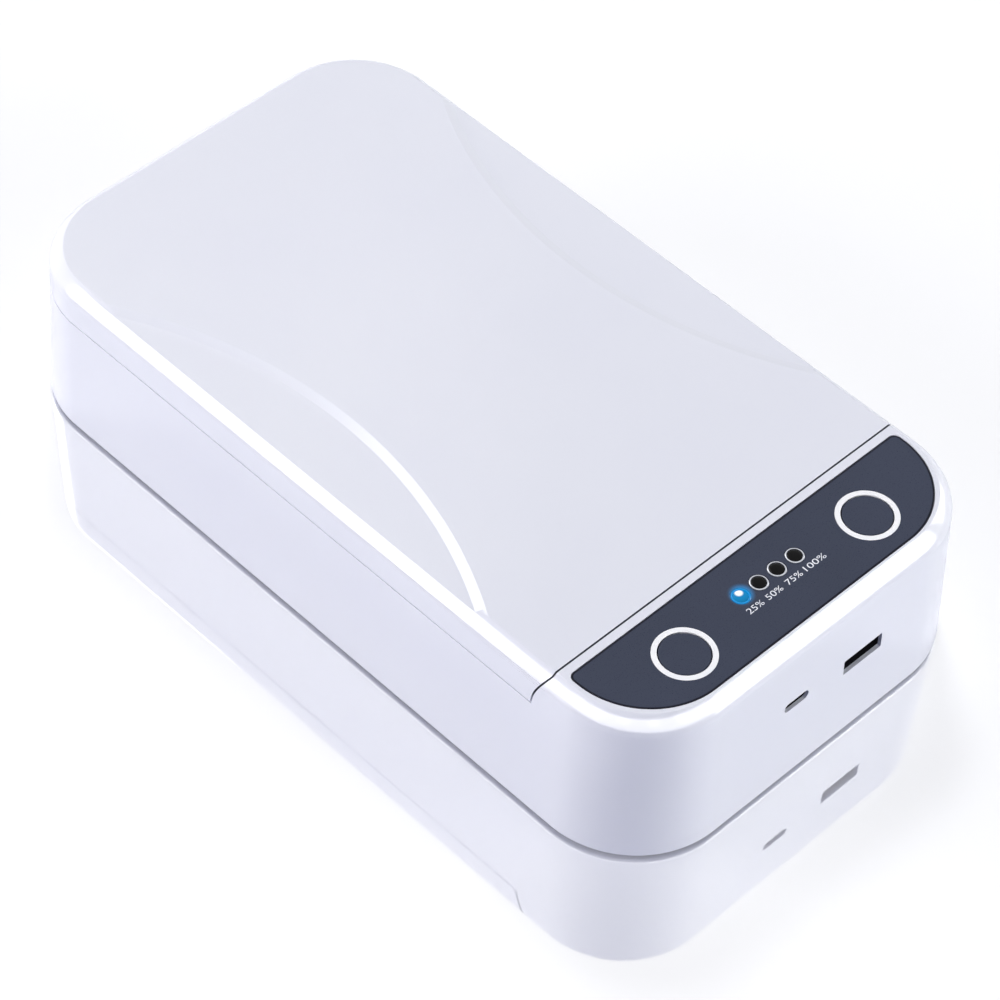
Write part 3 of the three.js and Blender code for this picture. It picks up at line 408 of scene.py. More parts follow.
# Painted shade: the socket nickel is darkened near black so the openings read as shadowed inside.
SOCKET_METAL_PAINTED_SHADE = Finish("socket_nickel_painted_shade", "bright_metal", "131318", "0e0e12",
                      0.42, 0.08, 1.5, 0.12, 0.002, 0.85)
CONTACT_GOLD = Finish("contact_gold", "bright_metal", "d9b25f", "c79d4c", 0.25, 0.06, 0.8, 0.1, 0.001, 1.0)
MAGNET_METAL = Finish("magnet_nickel", "bright_metal", "c9ccd2", "aeb2ba",
                      0.22, 0.07, 2.0, 0.12, 0.001, 1.0)
MIRROR = Finish("mirror_aluminium", "mirror_sheet", "e3e7ec", "d5dae1", 0.09, 0.04, 9.0, 0.5, 0.0015, 1.0,
                stretch=(0.25, 12.0, 1.0))
LAMP_GLASS = GlassFinish("lamp_glass", "lamp_glass", "eef4fd", "e2ecfa", 0.06, 0.03, 6.0, 0.6, 0.001,
                         stretch=(1.0, 10.0, 1.0))
LAMP_CAP = Finish("lamp_end_cap", "lamp_glass", "c4c8cf", "a9aeb7", 0.28, 0.08, 1.0, 0.15, 0.002, 0.95)
SILICONE = Finish("silicone_boot", "silicone", "d9dce0", "cdd1d6", 0.62, 0.08, 4.0, 0.3, 0.01)
# Black socket plastic for the tongues, and painted shade for the sleeves inside the openings.
SOCKET_BLACK_AND_PAINTED_SHADE = Finish("socket_black_moulding_and_shade", "dark_plastic", "0a0a0e", "0e0e13", 0.5, 0.08, 2.0, 0.2, 0.004,
                      specular=0.12)
DARK_PLASTIC = Finish("dark_moulding", "dark_plastic", "17181d", "202228", 0.45, 0.08, 2.0, 0.2, 0.004)
BOARD_GREEN = TracedFinish("board_lacquer", "board_green", "1e5a3c", "1a5136", 0.35, 0.08, 5.0, 0.4, 0.01)
FERRITE = Finish("ferrite_core", "ferrite", "3b3a3c", "2f2e31", 0.75, 0.1, 2.0, 0.25, 0.02)
PACK_FILM = Finish("pack_shrink_film", "pack_film", "2d4f8e", "24457f", 0.32, 0.1, 6.0, 1.2, 0.03, coat=0.4)
RUBBER = Finish("foot_rubber", "rubber_grey", "6d7078", "62656d", 0.85, 0.08, 2.0, 0.3, 0.02)
FELT = FibreFinish("aroma_felt", "felt", "efe9dc", "e4dccb", 0.95, 0.04, 1.5, 0.3, 0.05)
LEAD_RED = Finish("lead_red_sleeve", "lead_red", "b3262a", "9c1f24", 0.42, 0.08, 3.0, 0.3, 0.004)
SCREW_STEEL = Finish("screw_steel", "screw_steel", "8d9096", "7a7d84", 0.3, 0.1, 1.2, 0.12, 0.003, 1.0,
                     stretch=(3.0, 0.5, 0.5))


# Shaping


class Blank:
    """A closed mesh in millimetres that is cut, joined and rounded like a workpiece."""

    def __init__(self, points: Iterable[Spot], faces: Faces) -> None:
        """Makes the mesh with its faces turned outward.

        Args:
            points: Corners of the mesh.
            faces: Corner numbers of each face.
        """
        work = bmesh.new()
        corners = [work.verts.new(point) for point in points]
        for face in faces:
            work.faces.new([corners[place] for place in face])
        bmesh.ops.recalc_face_normals(work, faces=work.faces)
        mesh = bpy.data.meshes.new("blank")
        work.to_mesh(mesh)
        work.free()
        self.object = bpy.data.objects.new("blank", mesh)
        bpy.context.scene.collection.objects.link(self.object)

    def settle(self) -> "Blank":
        """Fixes what the modifiers do into the mesh."""
        graph = bpy.context.evaluated_depsgraph_get()
        fresh = bpy.data.meshes.new_from_object(self.object.evaluated_get(graph))
        self.object.modifiers.clear()
        old, self.object.data = self.object.data, fresh
        bpy.data.meshes.remove(old)
        return self

    def scrap(self) -> None:
        """Throws the blank away."""
        mesh = self.object.data
        bpy.data.objects.remove(self.object)
        bpy.data.meshes.remove(mesh)

    def merge(self, how: Merge, tools: Iterable["Blank"]) -> "Blank":
        """Puts this blank and each tool together, and uses the tools up.

        Args:
            how: Whether the tools are joined to it, cut from it or meet it.
            tools: The other blanks.

        Returns:
            This blank.
        """
        tools = list(tools)
        for tool in tools:
            step = self.object.modifiers.new(how.value, "BOOLEAN")
            step.operation = how.value
            step.solver = "MANIFOLD"
            step.object = tool.object
        self.settle()
        for tool in tools:
            tool.scrap()
        return self

    def join(self, *tools: "Blank") -> "Blank":
        """Adds the tools."""
        return self.merge(Merge.JOIN, tools)

    def cut(self, *tools: "Blank") -> "Blank":
        """Takes the tools away."""
        return self.merge(Merge.CUT, tools)

    def meet(self, *tools: "Blank") -> "Blank":
        """Keeps what lies in this blank and in every tool."""
        return self.merge(Merge.MEET, tools)

    def rounded(self, width: float, steps: int = 3, angle: float = 40.0) -> "Blank":
        """Rounds every edge that is sharper than an angle.

        Args:
            width: How far the round reaches from the edge.
            steps: Facets across the round.
            angle: Least angle between the two faces, in degrees.

        Returns:
            This blank.
        """
        step = self.object.modifiers.new("rounding", "BEVEL")
        step.width = width
        step.segments = steps
        step.limit_method = "ANGLE"
        step.angle_limit = math.radians(angle)
        step.use_clamp_overlap = False
        step.miter_outer = "MITER_ARC"
        return self.settle()

    def become(self, name: str, finish: Finish, body: Body, *nodes: str,
               sharp: float = 34.0) -> bpy.types.Object:
        """Turns the blank into a finished piece.

        Args:
            name: The piece's name.
            finish: Its finish.
            body: The body that it moves with.
            nodes: The plain solids that it stands for.
            sharp: Edges beyond this angle keep a hard line, in degrees.

        Returns:
            The piece.
        """
        piece, mesh = self.object, self.object.data
        work = bmesh.new()
        work.from_mesh(mesh)
        bmesh.ops.dissolve_degenerate(work, dist=SPECK, edges=work.edges)
        for face in work.faces:
            face.smooth = True
        for edge in work.edges:
            edge.smooth = edge.is_manifold and edge.calc_face_angle(0.0) < math.radians(sharp)
        work.to_mesh(mesh)
        work.free()
        mesh.transform(Matrix.Scale(MM, 4))
        weigh = piece.modifiers.new("even_shading", "WEIGHTED_NORMAL")
        weigh.keep_sharp = True
        weigh.weight = 80
        self.settle()
        mesh = piece.data
        mesh.materials.clear()
        mesh.materials.append(finish.material())
        piece.name = mesh.name = name
        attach(piece, body.value)
        if nodes:
            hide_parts(*nodes)
        log.info("%s: %d faces, finish %s, on %s", name, len(mesh.polygons), finish.name, body.value)
        return piece


def shade_faces(piece: bpy.types.Object, finish: Finish, pick: Callable[[Vector, Vector], bool]) -> None:
    """Gives some faces of a piece a second finish.

    Args:
        piece: The piece.
        finish: The second finish.
        pick: Says from a face's normal and middle, in millimetres, whether it gets that finish.
    """
    mesh = piece.data
    mesh.materials.append(finish.material())
    for face in mesh.polygons:
        if pick(face.normal, face.center / MM):
            face.material_index = len(mesh.materials) - 1


def loft(loops: Sequence[Sequence[Spot]]) -> Blank:
    """A closed skin over a stack of loops that have the same number of points."""
    count = len(loops[0])
    faces: Faces = [
        [level * count + i, level * count + (i + 1) % count,
         (level + 1) * count + (i + 1) % count, (level + 1) * count + i]
        for level in range(len(loops) - 1) for i in range(count)
    ]
    last = (len(loops) - 1) * count
    faces += [list(range(count))[::-1], list(range(last, last + count))]
    return Blank([point for loop in loops for point in loop], faces)


def rounded_loop(x: float, y: float, width: float, length: float, radius: float, steps: int) -> list[Plan]:
    """One loop of a rounded rectangle in plan, counter-clockwise."""
    signs = ((1, 1), (-1, 1), (-1, -1), (1, -1))
    return [
        (x + side_x * (width / 2 - radius) + radius * math.cos(QUARTER * (corner + step / steps)),
         y + side_y * (length / 2 - radius) + radius * math.sin(QUARTER * (corner + step / steps)))
        for corner, (side_x, side_y) in enumerate(signs) for step in range(steps + 1)
    ]


def rounded_box(
    width: float, length: float, radius: float, bottom: float, top: float, x: float = 0.0, y: float = 0.0,
    bottom_round: float = 0.0, top_round: float = 0.0, top_drop: float | None = None, taper: float = 0.0,
    steps: int = 10, corner_steps: int = 24, edge: Sequence[Plan] | None = None,
) -> Blank:
    """A box with round upright corners, round top and bottom edges and tapered walls.

    Args:
        width: Size along X at the top.
        length: Size along Y at the top.
        radius: Radius of the upright corners.
        bottom: Height of the lower face.
        top: Height of the upper face.
        x: Middle along X.
        y: Middle along Y.
        bottom_round: Radius of the lower edge.
        top_round: Reach of the upper edge's round from the wall.
        top_drop: Drop of the upper edge's round, the same as its reach if not given.
        taper: How far each wall leans in at the bottom.
        steps: Facets across an edge's round.
        corner_steps: Facets round an upright corner.
        edge: Inset and fall along the upper edge, from the wall up, in place of its round.

    Returns:
        The box.
    """
    drop = top_round if top_drop is None else top_drop
    levels: list[Plan] = []
    for reach, fall, level, sign in ((bottom_round, bottom_round, bottom, -1), (top_round, drop, top, 1)):
        if reach <= 0:
            levels.append((level, 0.0))
            continue
        for step in range(steps + 1):
            angle = QUARTER * ((step if sign < 0 else steps - step) / steps)
            levels.append((level - sign * fall * (1 - math.cos(angle)), reach * (1 - math.sin(angle))))
    if edge:
        levels = [pair for pair in levels if pair[0] < top - edge[0][1] - HAIR]
        levels += [(top - fall, inset) for inset, fall in edge]
    loops = []
    for z, inset in levels:
        drawn = inset + taper * (top - z) / (top - bottom)
        corner = max(radius - drawn, LEAST_RADIUS)
        plan = rounded_loop(x, y, width - 2 * drawn, length - 2 * drawn, corner, corner_steps)
        loops.append([(px, py, z) for px, py in plan])
    return loft(loops)


def prism(outline: Sequence[Plan], low: float, high: float, axis: Axis = Axis.Z) -> Blank:
    """An outline, drawn in the two axes that are left, run along an axis."""
    return loft([[axis.stand(a, b, level) for a, b in outline] for level in (low, high)])


def block(x0: float, x1: float, y0: float, y1: float, z0: float, z1: float) -> Blank:
    """A plain box between two corners, which later steps cut and round."""
    return prism([(x0, y0), (x1, y0), (x1, y1), (x0, y1)], z0, z1)


def slab(x: float, y: float, width: float, length: float, z0: float, z1: float) -> Blank:
    """A box given by its middle in plan and its height span."""
    return block(x - width / 2, x + width / 2, y - length / 2, y + length / 2, z0, z1)


def rod(axis: Axis, x: float, y: float, z: float, pairs: Iterable[Plan], steps: int = 32) -> Blank:
    """A turned form with a flat face at each end.

    Args:
        axis: The axis that it is turned about.
        x: Its origin along X.
        y: Its origin along Y.
        z: Height of its origin.
        pairs: Radius and place along the axis, from end to end, all off the axis.
        steps: Facets round the axis.

    Returns:
        The form.
    """
    turns = [4 * QUARTER * step / steps for step in range(steps)]
    loops = [[axis.stand(radius * math.cos(turn), radius * math.sin(turn), place) for turn in turns]
             for radius, place in pairs]
    return loft([[(x + px, y + py, z + pz) for px, py, pz in loop] for loop in loops])


def turned(x: float, y: float, pairs: Iterable[Plan], steps: int = 48) -> Blank:
    """A turned form on an upright axis; its pairs are radius and height, from the lower end up."""
    return rod(Axis.Z, x, y, 0.0, pairs, steps)


def post(x: float, y: float, radius: float, z0: float, z1: float, steps: int = 48) -> Blank:
    """An upright round post."""
    return turned(x, y, [(radius, z0), (radius, z1)], steps)


def corners(x: float, y: float) -> list[Plan]:
    """A place in plan and its three mirror images."""
    return [(side_x * x, side_y * y) for side_x in (-1, 1) for side_y in (-1, 1)]


def arc(x: float, y: float, radius: float, start: float, end: float, steps: int) -> list[Plan]:
    """Points on an arc, with its ends in quarter turns."""
    return [
        (x + radius * math.cos(QUARTER * (start + (end - start) * step / steps)),
         y + radius * math.sin(QUARTER * (start + (end - start) * step / steps)))
        for step in range(steps + 1)
    ]


def pill(x: float, z: float, width: float, height: float, steps: int = 14) -> list[Plan]:
    """The outline of a slot with round ends."""
    reach = (width - height) / 2
    return (arc(x + reach, z, height / 2, -1, 1, steps) + arc(x - reach, z, height / 2, 1, 3, steps))


@dataclass(frozen=True)
class CaseSizes:
    """The measures that several sub-assemblies share."""

    length: float = 220.0
    width: float = 120.4
    height: float = 46.8
    corner: float = 26.5
    lean: float = 2.0
    lift: float = 0.8
    top_reach: float = 3.4
    top_drop: float = 4.8
    edge_first: float = 34.0
    edge_second: float = 62.0
    edge_third: float = 88.0
    edge_last: float = 1.8
    bottom_edge: float = 1.0
    wall: float = 2.5
    deck: float = 2.2
    base_seam_y: float = -77.35
    lid_seam_y: float = -76.95
    base_foot_y: float = -73.75
    lid_foot_y: float = -73.35
    seam_sweep: float = 3.6
    seam_start: float = 0.8
    seam_round: float = 0.1
    base_rim_z: float = 35.65
    lid_rim_z: float = 35.95
    rim_lip: float = 1.1
    lid_wall: float = 2.0
    lid_top: float = 2.0
    flange_bottom: float = 34.05
    liner_bottom: float = 36.1
    liner_top: float = 37.5
    chamber_y: float = 19.525
    chamber_length: float = 164.95
    chamber_width: float = 104.4
    chamber_radius: float = 18.5
    chamber_floor: float = 17.5
    trough_width: float = 18.0
    trough_length: float = 146.35
    trough_floor: float = 10.5
    lamp_length: float = 134.35
    lamp_radius: float = 1.5
    hinge_y: float = 108.3565
    hinge_z: float = 34.0
    hinge_spread: float = 20.0
    knuckle_radius: float = 1.5
    base_knuckle: float = 9.0
    lid_knuckle: float = 6.0
    pin_radius: float = 0.6
    run: float = 0.3
    fit: float = 0.15
    seat: float = 0.1

    def lean_at(self, z: float) -> float:
        """How far the walls have leaned in at a height."""
        return self.lean * (z - self.lift) / (self.height - self.lift)

    def form(self, inset: float, bottom: float, top: float, **rounds: object) -> Blank:
        """The body's leaning outline, drawn in by an inset, with rounds as rounded_box takes them."""
        drawn = inset + self.lean_at(top)
        return rounded_box(
            self.width - 2 * drawn, self.length - 2 * drawn, self.corner - drawn, bottom, top,
            taper=self.lean_at(bottom) - self.lean_at(top), steps=14, corner_steps=48, **rounds)

    def hollow(self, wall: float, cover: float, bottom: float) -> Blank:
        """The space above a height, inside walls and under a cover of given thickness."""
        return self.form(wall, bottom, self.height - cover, top_round=self.top_reach - wall,
                         top_drop=self.top_drop - cover)

    def edge(self) -> list[Plan]:
        """The upper edge's line: a quick turn off the top, a long flat sweep and a slow turn to the wall."""
        turns = [math.radians(value) for value in (0, self.edge_first, self.edge_second, self.edge_third)]
        runs, falls = [], []
        for start, end in zip(turns, turns[1:]):
            runs.append((math.sin(end) - math.sin(start)) / (end - start))
            falls.append((math.cos(start) - math.cos(end)) / (end - start))
        reach, drop = self.top_reach - self.edge_last * runs[2], self.top_drop - self.edge_last * falls[2]
        scale = runs[0] * falls[1] - runs[1] * falls[0]
        lengths = ((reach * falls[1] - runs[1] * drop) / scale, (runs[0] * drop - falls[0] * reach) / scale,
                   self.edge_last)
        inset, fall, line = self.top_reach, 0.0, [(self.top_reach, 0.0)]
        for start, end, length, steps in zip(turns, turns[1:], lengths, (5, 8, 7)):
            for step in range(steps):
                turn = start + (end - start) * (step + 0.5) / steps
                inset -= length / steps * math.cos(turn)
                fall += length / steps * math.sin(turn)
                line.append((max(inset, 0.0), fall))
        return line[::-1]

    def outer(self) -> Blank:
        """The whole outside of the box, lid and base together."""
        return self.form(0, self.lift, self.height, bottom_round=self.bottom_edge, edge=self.edge())

    def behind(self, y: float) -> Blank:
        """Everything behind a plane across the box."""
        return block(-self.width, self.width, y, self.length, -OVERRUN, self.height + OVERRUN)

    def lid_room(self, y: float, z: float, steps: int = 20) -> Blank:
        """All that lies behind the seam and over the parting line; the seam sweeps back as it runs down."""
        top, start = self.height + OVERRUN, self.height - self.seam_start
        sweep = [
            (y + self.seam_sweep * math.sin(QUARTER * step / steps), start - (start - z) * step / steps)
            for step in range(steps + 1)
        ]
        outline = [(self.length, top), (y, top), *sweep, (self.length, z)]
        return prism(outline, -self.width, self.width, Axis.X)

    def barrel(self, x: float, radius: float, half: float) -> Blank:
        """A round form on the hinge axis, of a given half length."""
        return rod(Axis.X, x, self.hinge_y, self.hinge_z, [(radius, -half), (radius, half)])

    def knuckle_room(self, x: float, width: float) -> Blank:
        """The room that knuckles of a given width need in a rim."""
        half, reach = width / 2 + self.run, self.knuckle_radius + self.run
        return self.barrel(x, reach, half).join(block(
            x - half, x + half, self.hinge_y - reach, self.length / 2 + OVERRUN, self.hinge_z, self.height))

    def bores(self, places: Iterable[float], width: float) -> list[Blank]:
        """The holes for the pins through knuckles of a given width."""
        return [self.barrel(x, self.pin_radius + self.run, width / 2 + FUSE) for x in places]

    @property
    def hinge_span(self) -> float:
        """Width of a base knuckle with a lid knuckle on each side."""
        return self.base_knuckle + 2 * (self.lid_knuckle + self.run)

    @property
    def base_knuckles(self) -> list[float]:
        """Middles of the base's knuckles along X."""
        return [side * self.hinge_spread for _, side in SIDES]

    @property
    def lid_knuckles(self) -> list[float]:
        """Middles of the lid's knuckles along X."""
        reach = (self.base_knuckle + self.lid_knuckle) / 2 + self.run
        return [middle + turn * reach for middle in self.base_knuckles for turn in (-1, 1)]


CASE = CaseSizes()


@dataclass
class Panel:
    """The dark panel in the deck, with its rings, push buttons, lights and figures."""

    half: float = 53.9
    front: float = -104.15
    back: float = -79.75
    corner: float = 21.6
    tip: float = 1.8
    thickness: float = 0.7
    border: float = 0.42
    border_round: float = 0.12
    button_x: float = 30.25
    button_y: float = -92.65
    ring_radius: float = 7.6
    ring_stroke: float = 1.35
    ring_edge: float = 0.06
    ring_room: float = 0.02
    cap_radius: float = 5.95
    cap_edge: float = 0.15
    cap_foot: float = 31.5
    stem_radius: float = 1.7
    flange: float = 0.9
    light_y: float = -89.6
    light_pitch: float = 5.95
    light_radius: float = 1.8
    light_stem: float = 1.3
    light_foot: float = 31.8
    light_room: float = 0.3
    dome_drop: float = 0.18
    dome_height: float = 0.24
    bezel_gap: float = 0.12
    bezel_width: float = 0.32
    bezel_rise: float = 0.06
    print_lift: float = 0.012
    print_depth: float = 0.05
    figures: tuple[tuple[str, float, float], ...] = (
        ("25", -8.81, 4.9), ("50", -2.6, 4.9), ("75", 3.88, 4.9), ("100", 10.85, 6.7))
    figure_y: float = -94.0
    figure_height: float = 1.62

    def outline(self, growth: float, steps: int = 40) -> list[Plan]:
        """The panel's outline, grown all round."""
        half, front, back = self.half + growth, self.front - growth, self.back + growth
        corner, tip = self.corner + growth, max(self.tip + growth, 0.3)
        return (
            arc(half - corner, front + corner, corner, -1, 0, steps)
            + arc(half - tip, back - tip, tip, 0, 1, 10)
            + arc(tip - half, back - tip, tip, 1, 2, 10)
            + arc(corner - half, front + corner, corner, 2, 3, steps))

    @property
    def bottom(self) -> float:
        """Height of the panel's underside."""
        return CASE.height - self.thickness

    @property
    def lights(self) -> list[Plan]:
        """Middles of the four battery lights."""
        return [((place - 1.5) * self.light_pitch, self.light_y) for place in range(4)]

    @property
    def buttons(self) -> list[tuple[str, Body, Plan]]:
        """Each push button with its body and place."""
        return [
            ("sterilize", Body.STERILIZE, (-self.button_x, self.button_y)),
            ("aroma", Body.AROMA, (self.button_x, self.button_y)),
        ]

    def through(self, place: Plan, radius: float, steps: int) -> Blank:
        """A round hole through the panel."""
        return post(*place, radius, self.bottom - 1, CASE.height + 1, steps)

    def build(self) -> None:
        """Makes every piece of the panel."""
        self.build_film()
        for name, body, place in self.buttons:
            self.build_ring(name, place)
            self.build_cap(name, body, place)
        for number, place in enumerate(self.lights, 1):
            self.build_light(number, place)
        for text, x, width in self.figures:
            self.build_figure(text, x, width)

    def build_film(self) -> None:
        """The film, with a painted glow of the first battery light spilling on it, and the dark line round
        its edge.
        """
        x, y = self.lights[0]
        # Painted glow: the film gives off blue light round the first battery light, in place of its spill.
        finish = LampAndPaintedGlowFinish("panel_slate_film_painted_glow", *SLATE, specular=0.25, strength=0.75,
                           spot=(x + 0.45, y + 0.2, CASE.height))
        light_hole = self.light_radius + self.light_room + self.bezel_width
        rings = [self.through(place, self.ring_radius + self.ring_room, 96) for _, _, place in self.buttons]
        lights = [self.through(place, light_hole, 64) for place in self.lights]
        film = prism(self.outline(-self.border), self.bottom, CASE.height).cut(*rings, *lights)
        film.become("panel_film", finish, Body.BASE, "control_panel")
        edge = prism(self.outline(0.0), self.bottom, CASE.height).rounded(self.border_round, 3)
        edge.cut(prism(self.outline(-self.border - 0.01), self.bottom - 1, CASE.height + 1))
        edge.become("panel_edge_line", PANEL_EDGE, Body.BASE, "control_panel")

    def build_ring(self, name: str, place: Plan) -> None:
        """The white ring round a push button."""
        outer, edge, top = self.ring_radius, self.ring_edge, CASE.height + self.print_lift
        ring = turned(*place, [(outer, self.bottom), (outer, top - edge),
                               (outer - edge * 0.3, top - edge * 0.3), (outer - edge, top)], 96)
        ring.cut(self.through(place, outer - self.ring_stroke, 96))
        ring.become(f"{name}_ring_inlay", RING_WHITE, Body.BASE, f"{name}_ring")

    def build_cap(self, name: str, body: Body, place: Plan) -> None:
        """The bare cap of a push button, with its stem and stop flange."""
        top, edge, radius = CASE.height, self.cap_edge, self.cap_radius
        under = top - CASE.deck - CASE.run
        stem, flange = self.stem_radius, radius + self.flange
        cap = turned(*place, [
            (stem, self.cap_foot), (stem, under - 1), (flange, under - 1), (flange, under), (radius, under),
            (radius, top - edge), (radius - edge * 0.3, top - edge * 0.3), (radius - edge, top),
        ], 96)
        cap.become(f"{name}_cap", BUTTON_SLATE, body, f"{name}_button")

    def build_light(self, number: int, place: Plan) -> None:
        """A battery light under its dome, with the bezel round it; the first one is lit, and its bezel has a
        painted blue glow.
        """
        x, y = place
        top, bottom, radius = CASE.height, self.bottom, self.light_radius
        turns = [QUARTER * step / 8 for step in range(8)]
        dome = [(radius * math.cos(turn), top - self.dome_drop + self.dome_height * math.sin(turn))
                for turn in turns]
        lens = turned(x, y, [
            (self.light_stem, self.light_foot), (self.light_stem, bottom), (radius, bottom), *dome])
        inner, width, rise = radius + self.bezel_gap, self.bezel_width, top + self.bezel_rise
        bezel = turned(x, y, [(inner + width, bottom), (inner + width, top), (inner + width * 0.7, rise),
                              (inner + width * 0.3, rise)], 64)
        bezel.cut(self.through(place, inner, 64))
        lens_finish, bezel_finish = LENS_BLACK, BEZEL_METAL
        if number == 1:
            lens_finish = LampAndPaintedGlowFinish(
                "lens_lit_blue", "lens_lit", "03121c", "041622", 0.2, 0.04, 1.0, 0.2, 0.0006, specular=0.1,
                glow="0a7cb4", core="ffffff", strength=1.15, spot=(x + 0.32, y + 0.95, top), reach=5.0,
                core_reach=1.25)
            # Painted glow: the metal bezel gives off the light's blue, in place of light it would catch.
            bezel_finish = LampAndPaintedGlowFinish(
                "bezel_painted_blue_glow", "bright_metal", "0a5f90", "0a5480", 0.3, 0.06, 0.6, 0.1, 0.001, 0.3,
                strength=0.8, spot=(x, y, top), reach=4.4, core_reach=0.5)
        lens.become(f"battery_lens_{number}", lens_finish, Body.BASE, f"battery_light_{number}")
        bezel.become(f"battery_bezel_{number}", bezel_finish, Body.BASE, f"light_bezel_{number}")

    def build_figure(self, text: str, x: float, width: float) -> None:
        """A printed charge figure, such as 25 %."""
        curve = bpy.data.curves.new("figure", "FONT")
        curve.body = f"{text}%"
        curve.extrude = 0.01
        letters = bpy.data.objects.new("figure", curve)
        bpy.context.scene.collection.objects.link(letters)
        graph = bpy.context.evaluated_depsgraph_get()
        mesh = bpy.data.meshes.new_from_object(letters.evaluated_get(graph))
        bpy.data.objects.remove(letters)
        bpy.data.curves.remove(curve)
        low, high = (Vector(end(v.co[axis] for v in mesh.vertices) for axis in Axis) for end in (min, max))
        for vertex in mesh.vertices:
            share = [(vertex.co[axis] - low[axis]) / (high[axis] - low[axis]) for axis in Axis]
            vertex.co = Vector((
                x + (share[0] - 0.5) * width,
                self.figure_y + (share[1] - 0.5) * self.figure_height,
                CASE.height - self.print_depth + share[2] * (self.print_depth + self.print_lift))) * MM
        mesh.materials.append(LABEL_WHITE.material())
        piece = bpy.data.objects.new(f"figure_{text}_percent", mesh)
        bpy.context.scene.collection.objects.link(piece)
        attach(piece, Body.BASE.value)
        log.info("%s: printed figure", piece.name)


@dataclass(frozen=True)
class Contacts:
    """A row of gold strips on a socket's tongue."""

    socket: str
    count: int
    pitch: float
    half: float
    start: float
    low: float
    high: float
    soften: float = 0.0
    end: float = 2.0

    def build(self, x: float, y0: float, y1: float, z: float) -> None:
        """Makes the strips.

        Args:
            x: Middle of the row.
            y0: The socket's front end.
            y1: The socket's rear end.
            z: Height from which the strips' own heights are measured.
        """
        for number in range(self.count):
            middle = x + (number - (self.count - 1) / 2) * self.pitch
            strip = block(middle - self.half, middle + self.half, y0 + self.start, y1 - self.end,
                          z + self.low, z + self.high)
            if self.soften:
                strip.rounded(self.soften, 2)
            strip.become(f"{self.socket}_contact_{number + 1}", CONTACT_GOLD, Body.BASE)


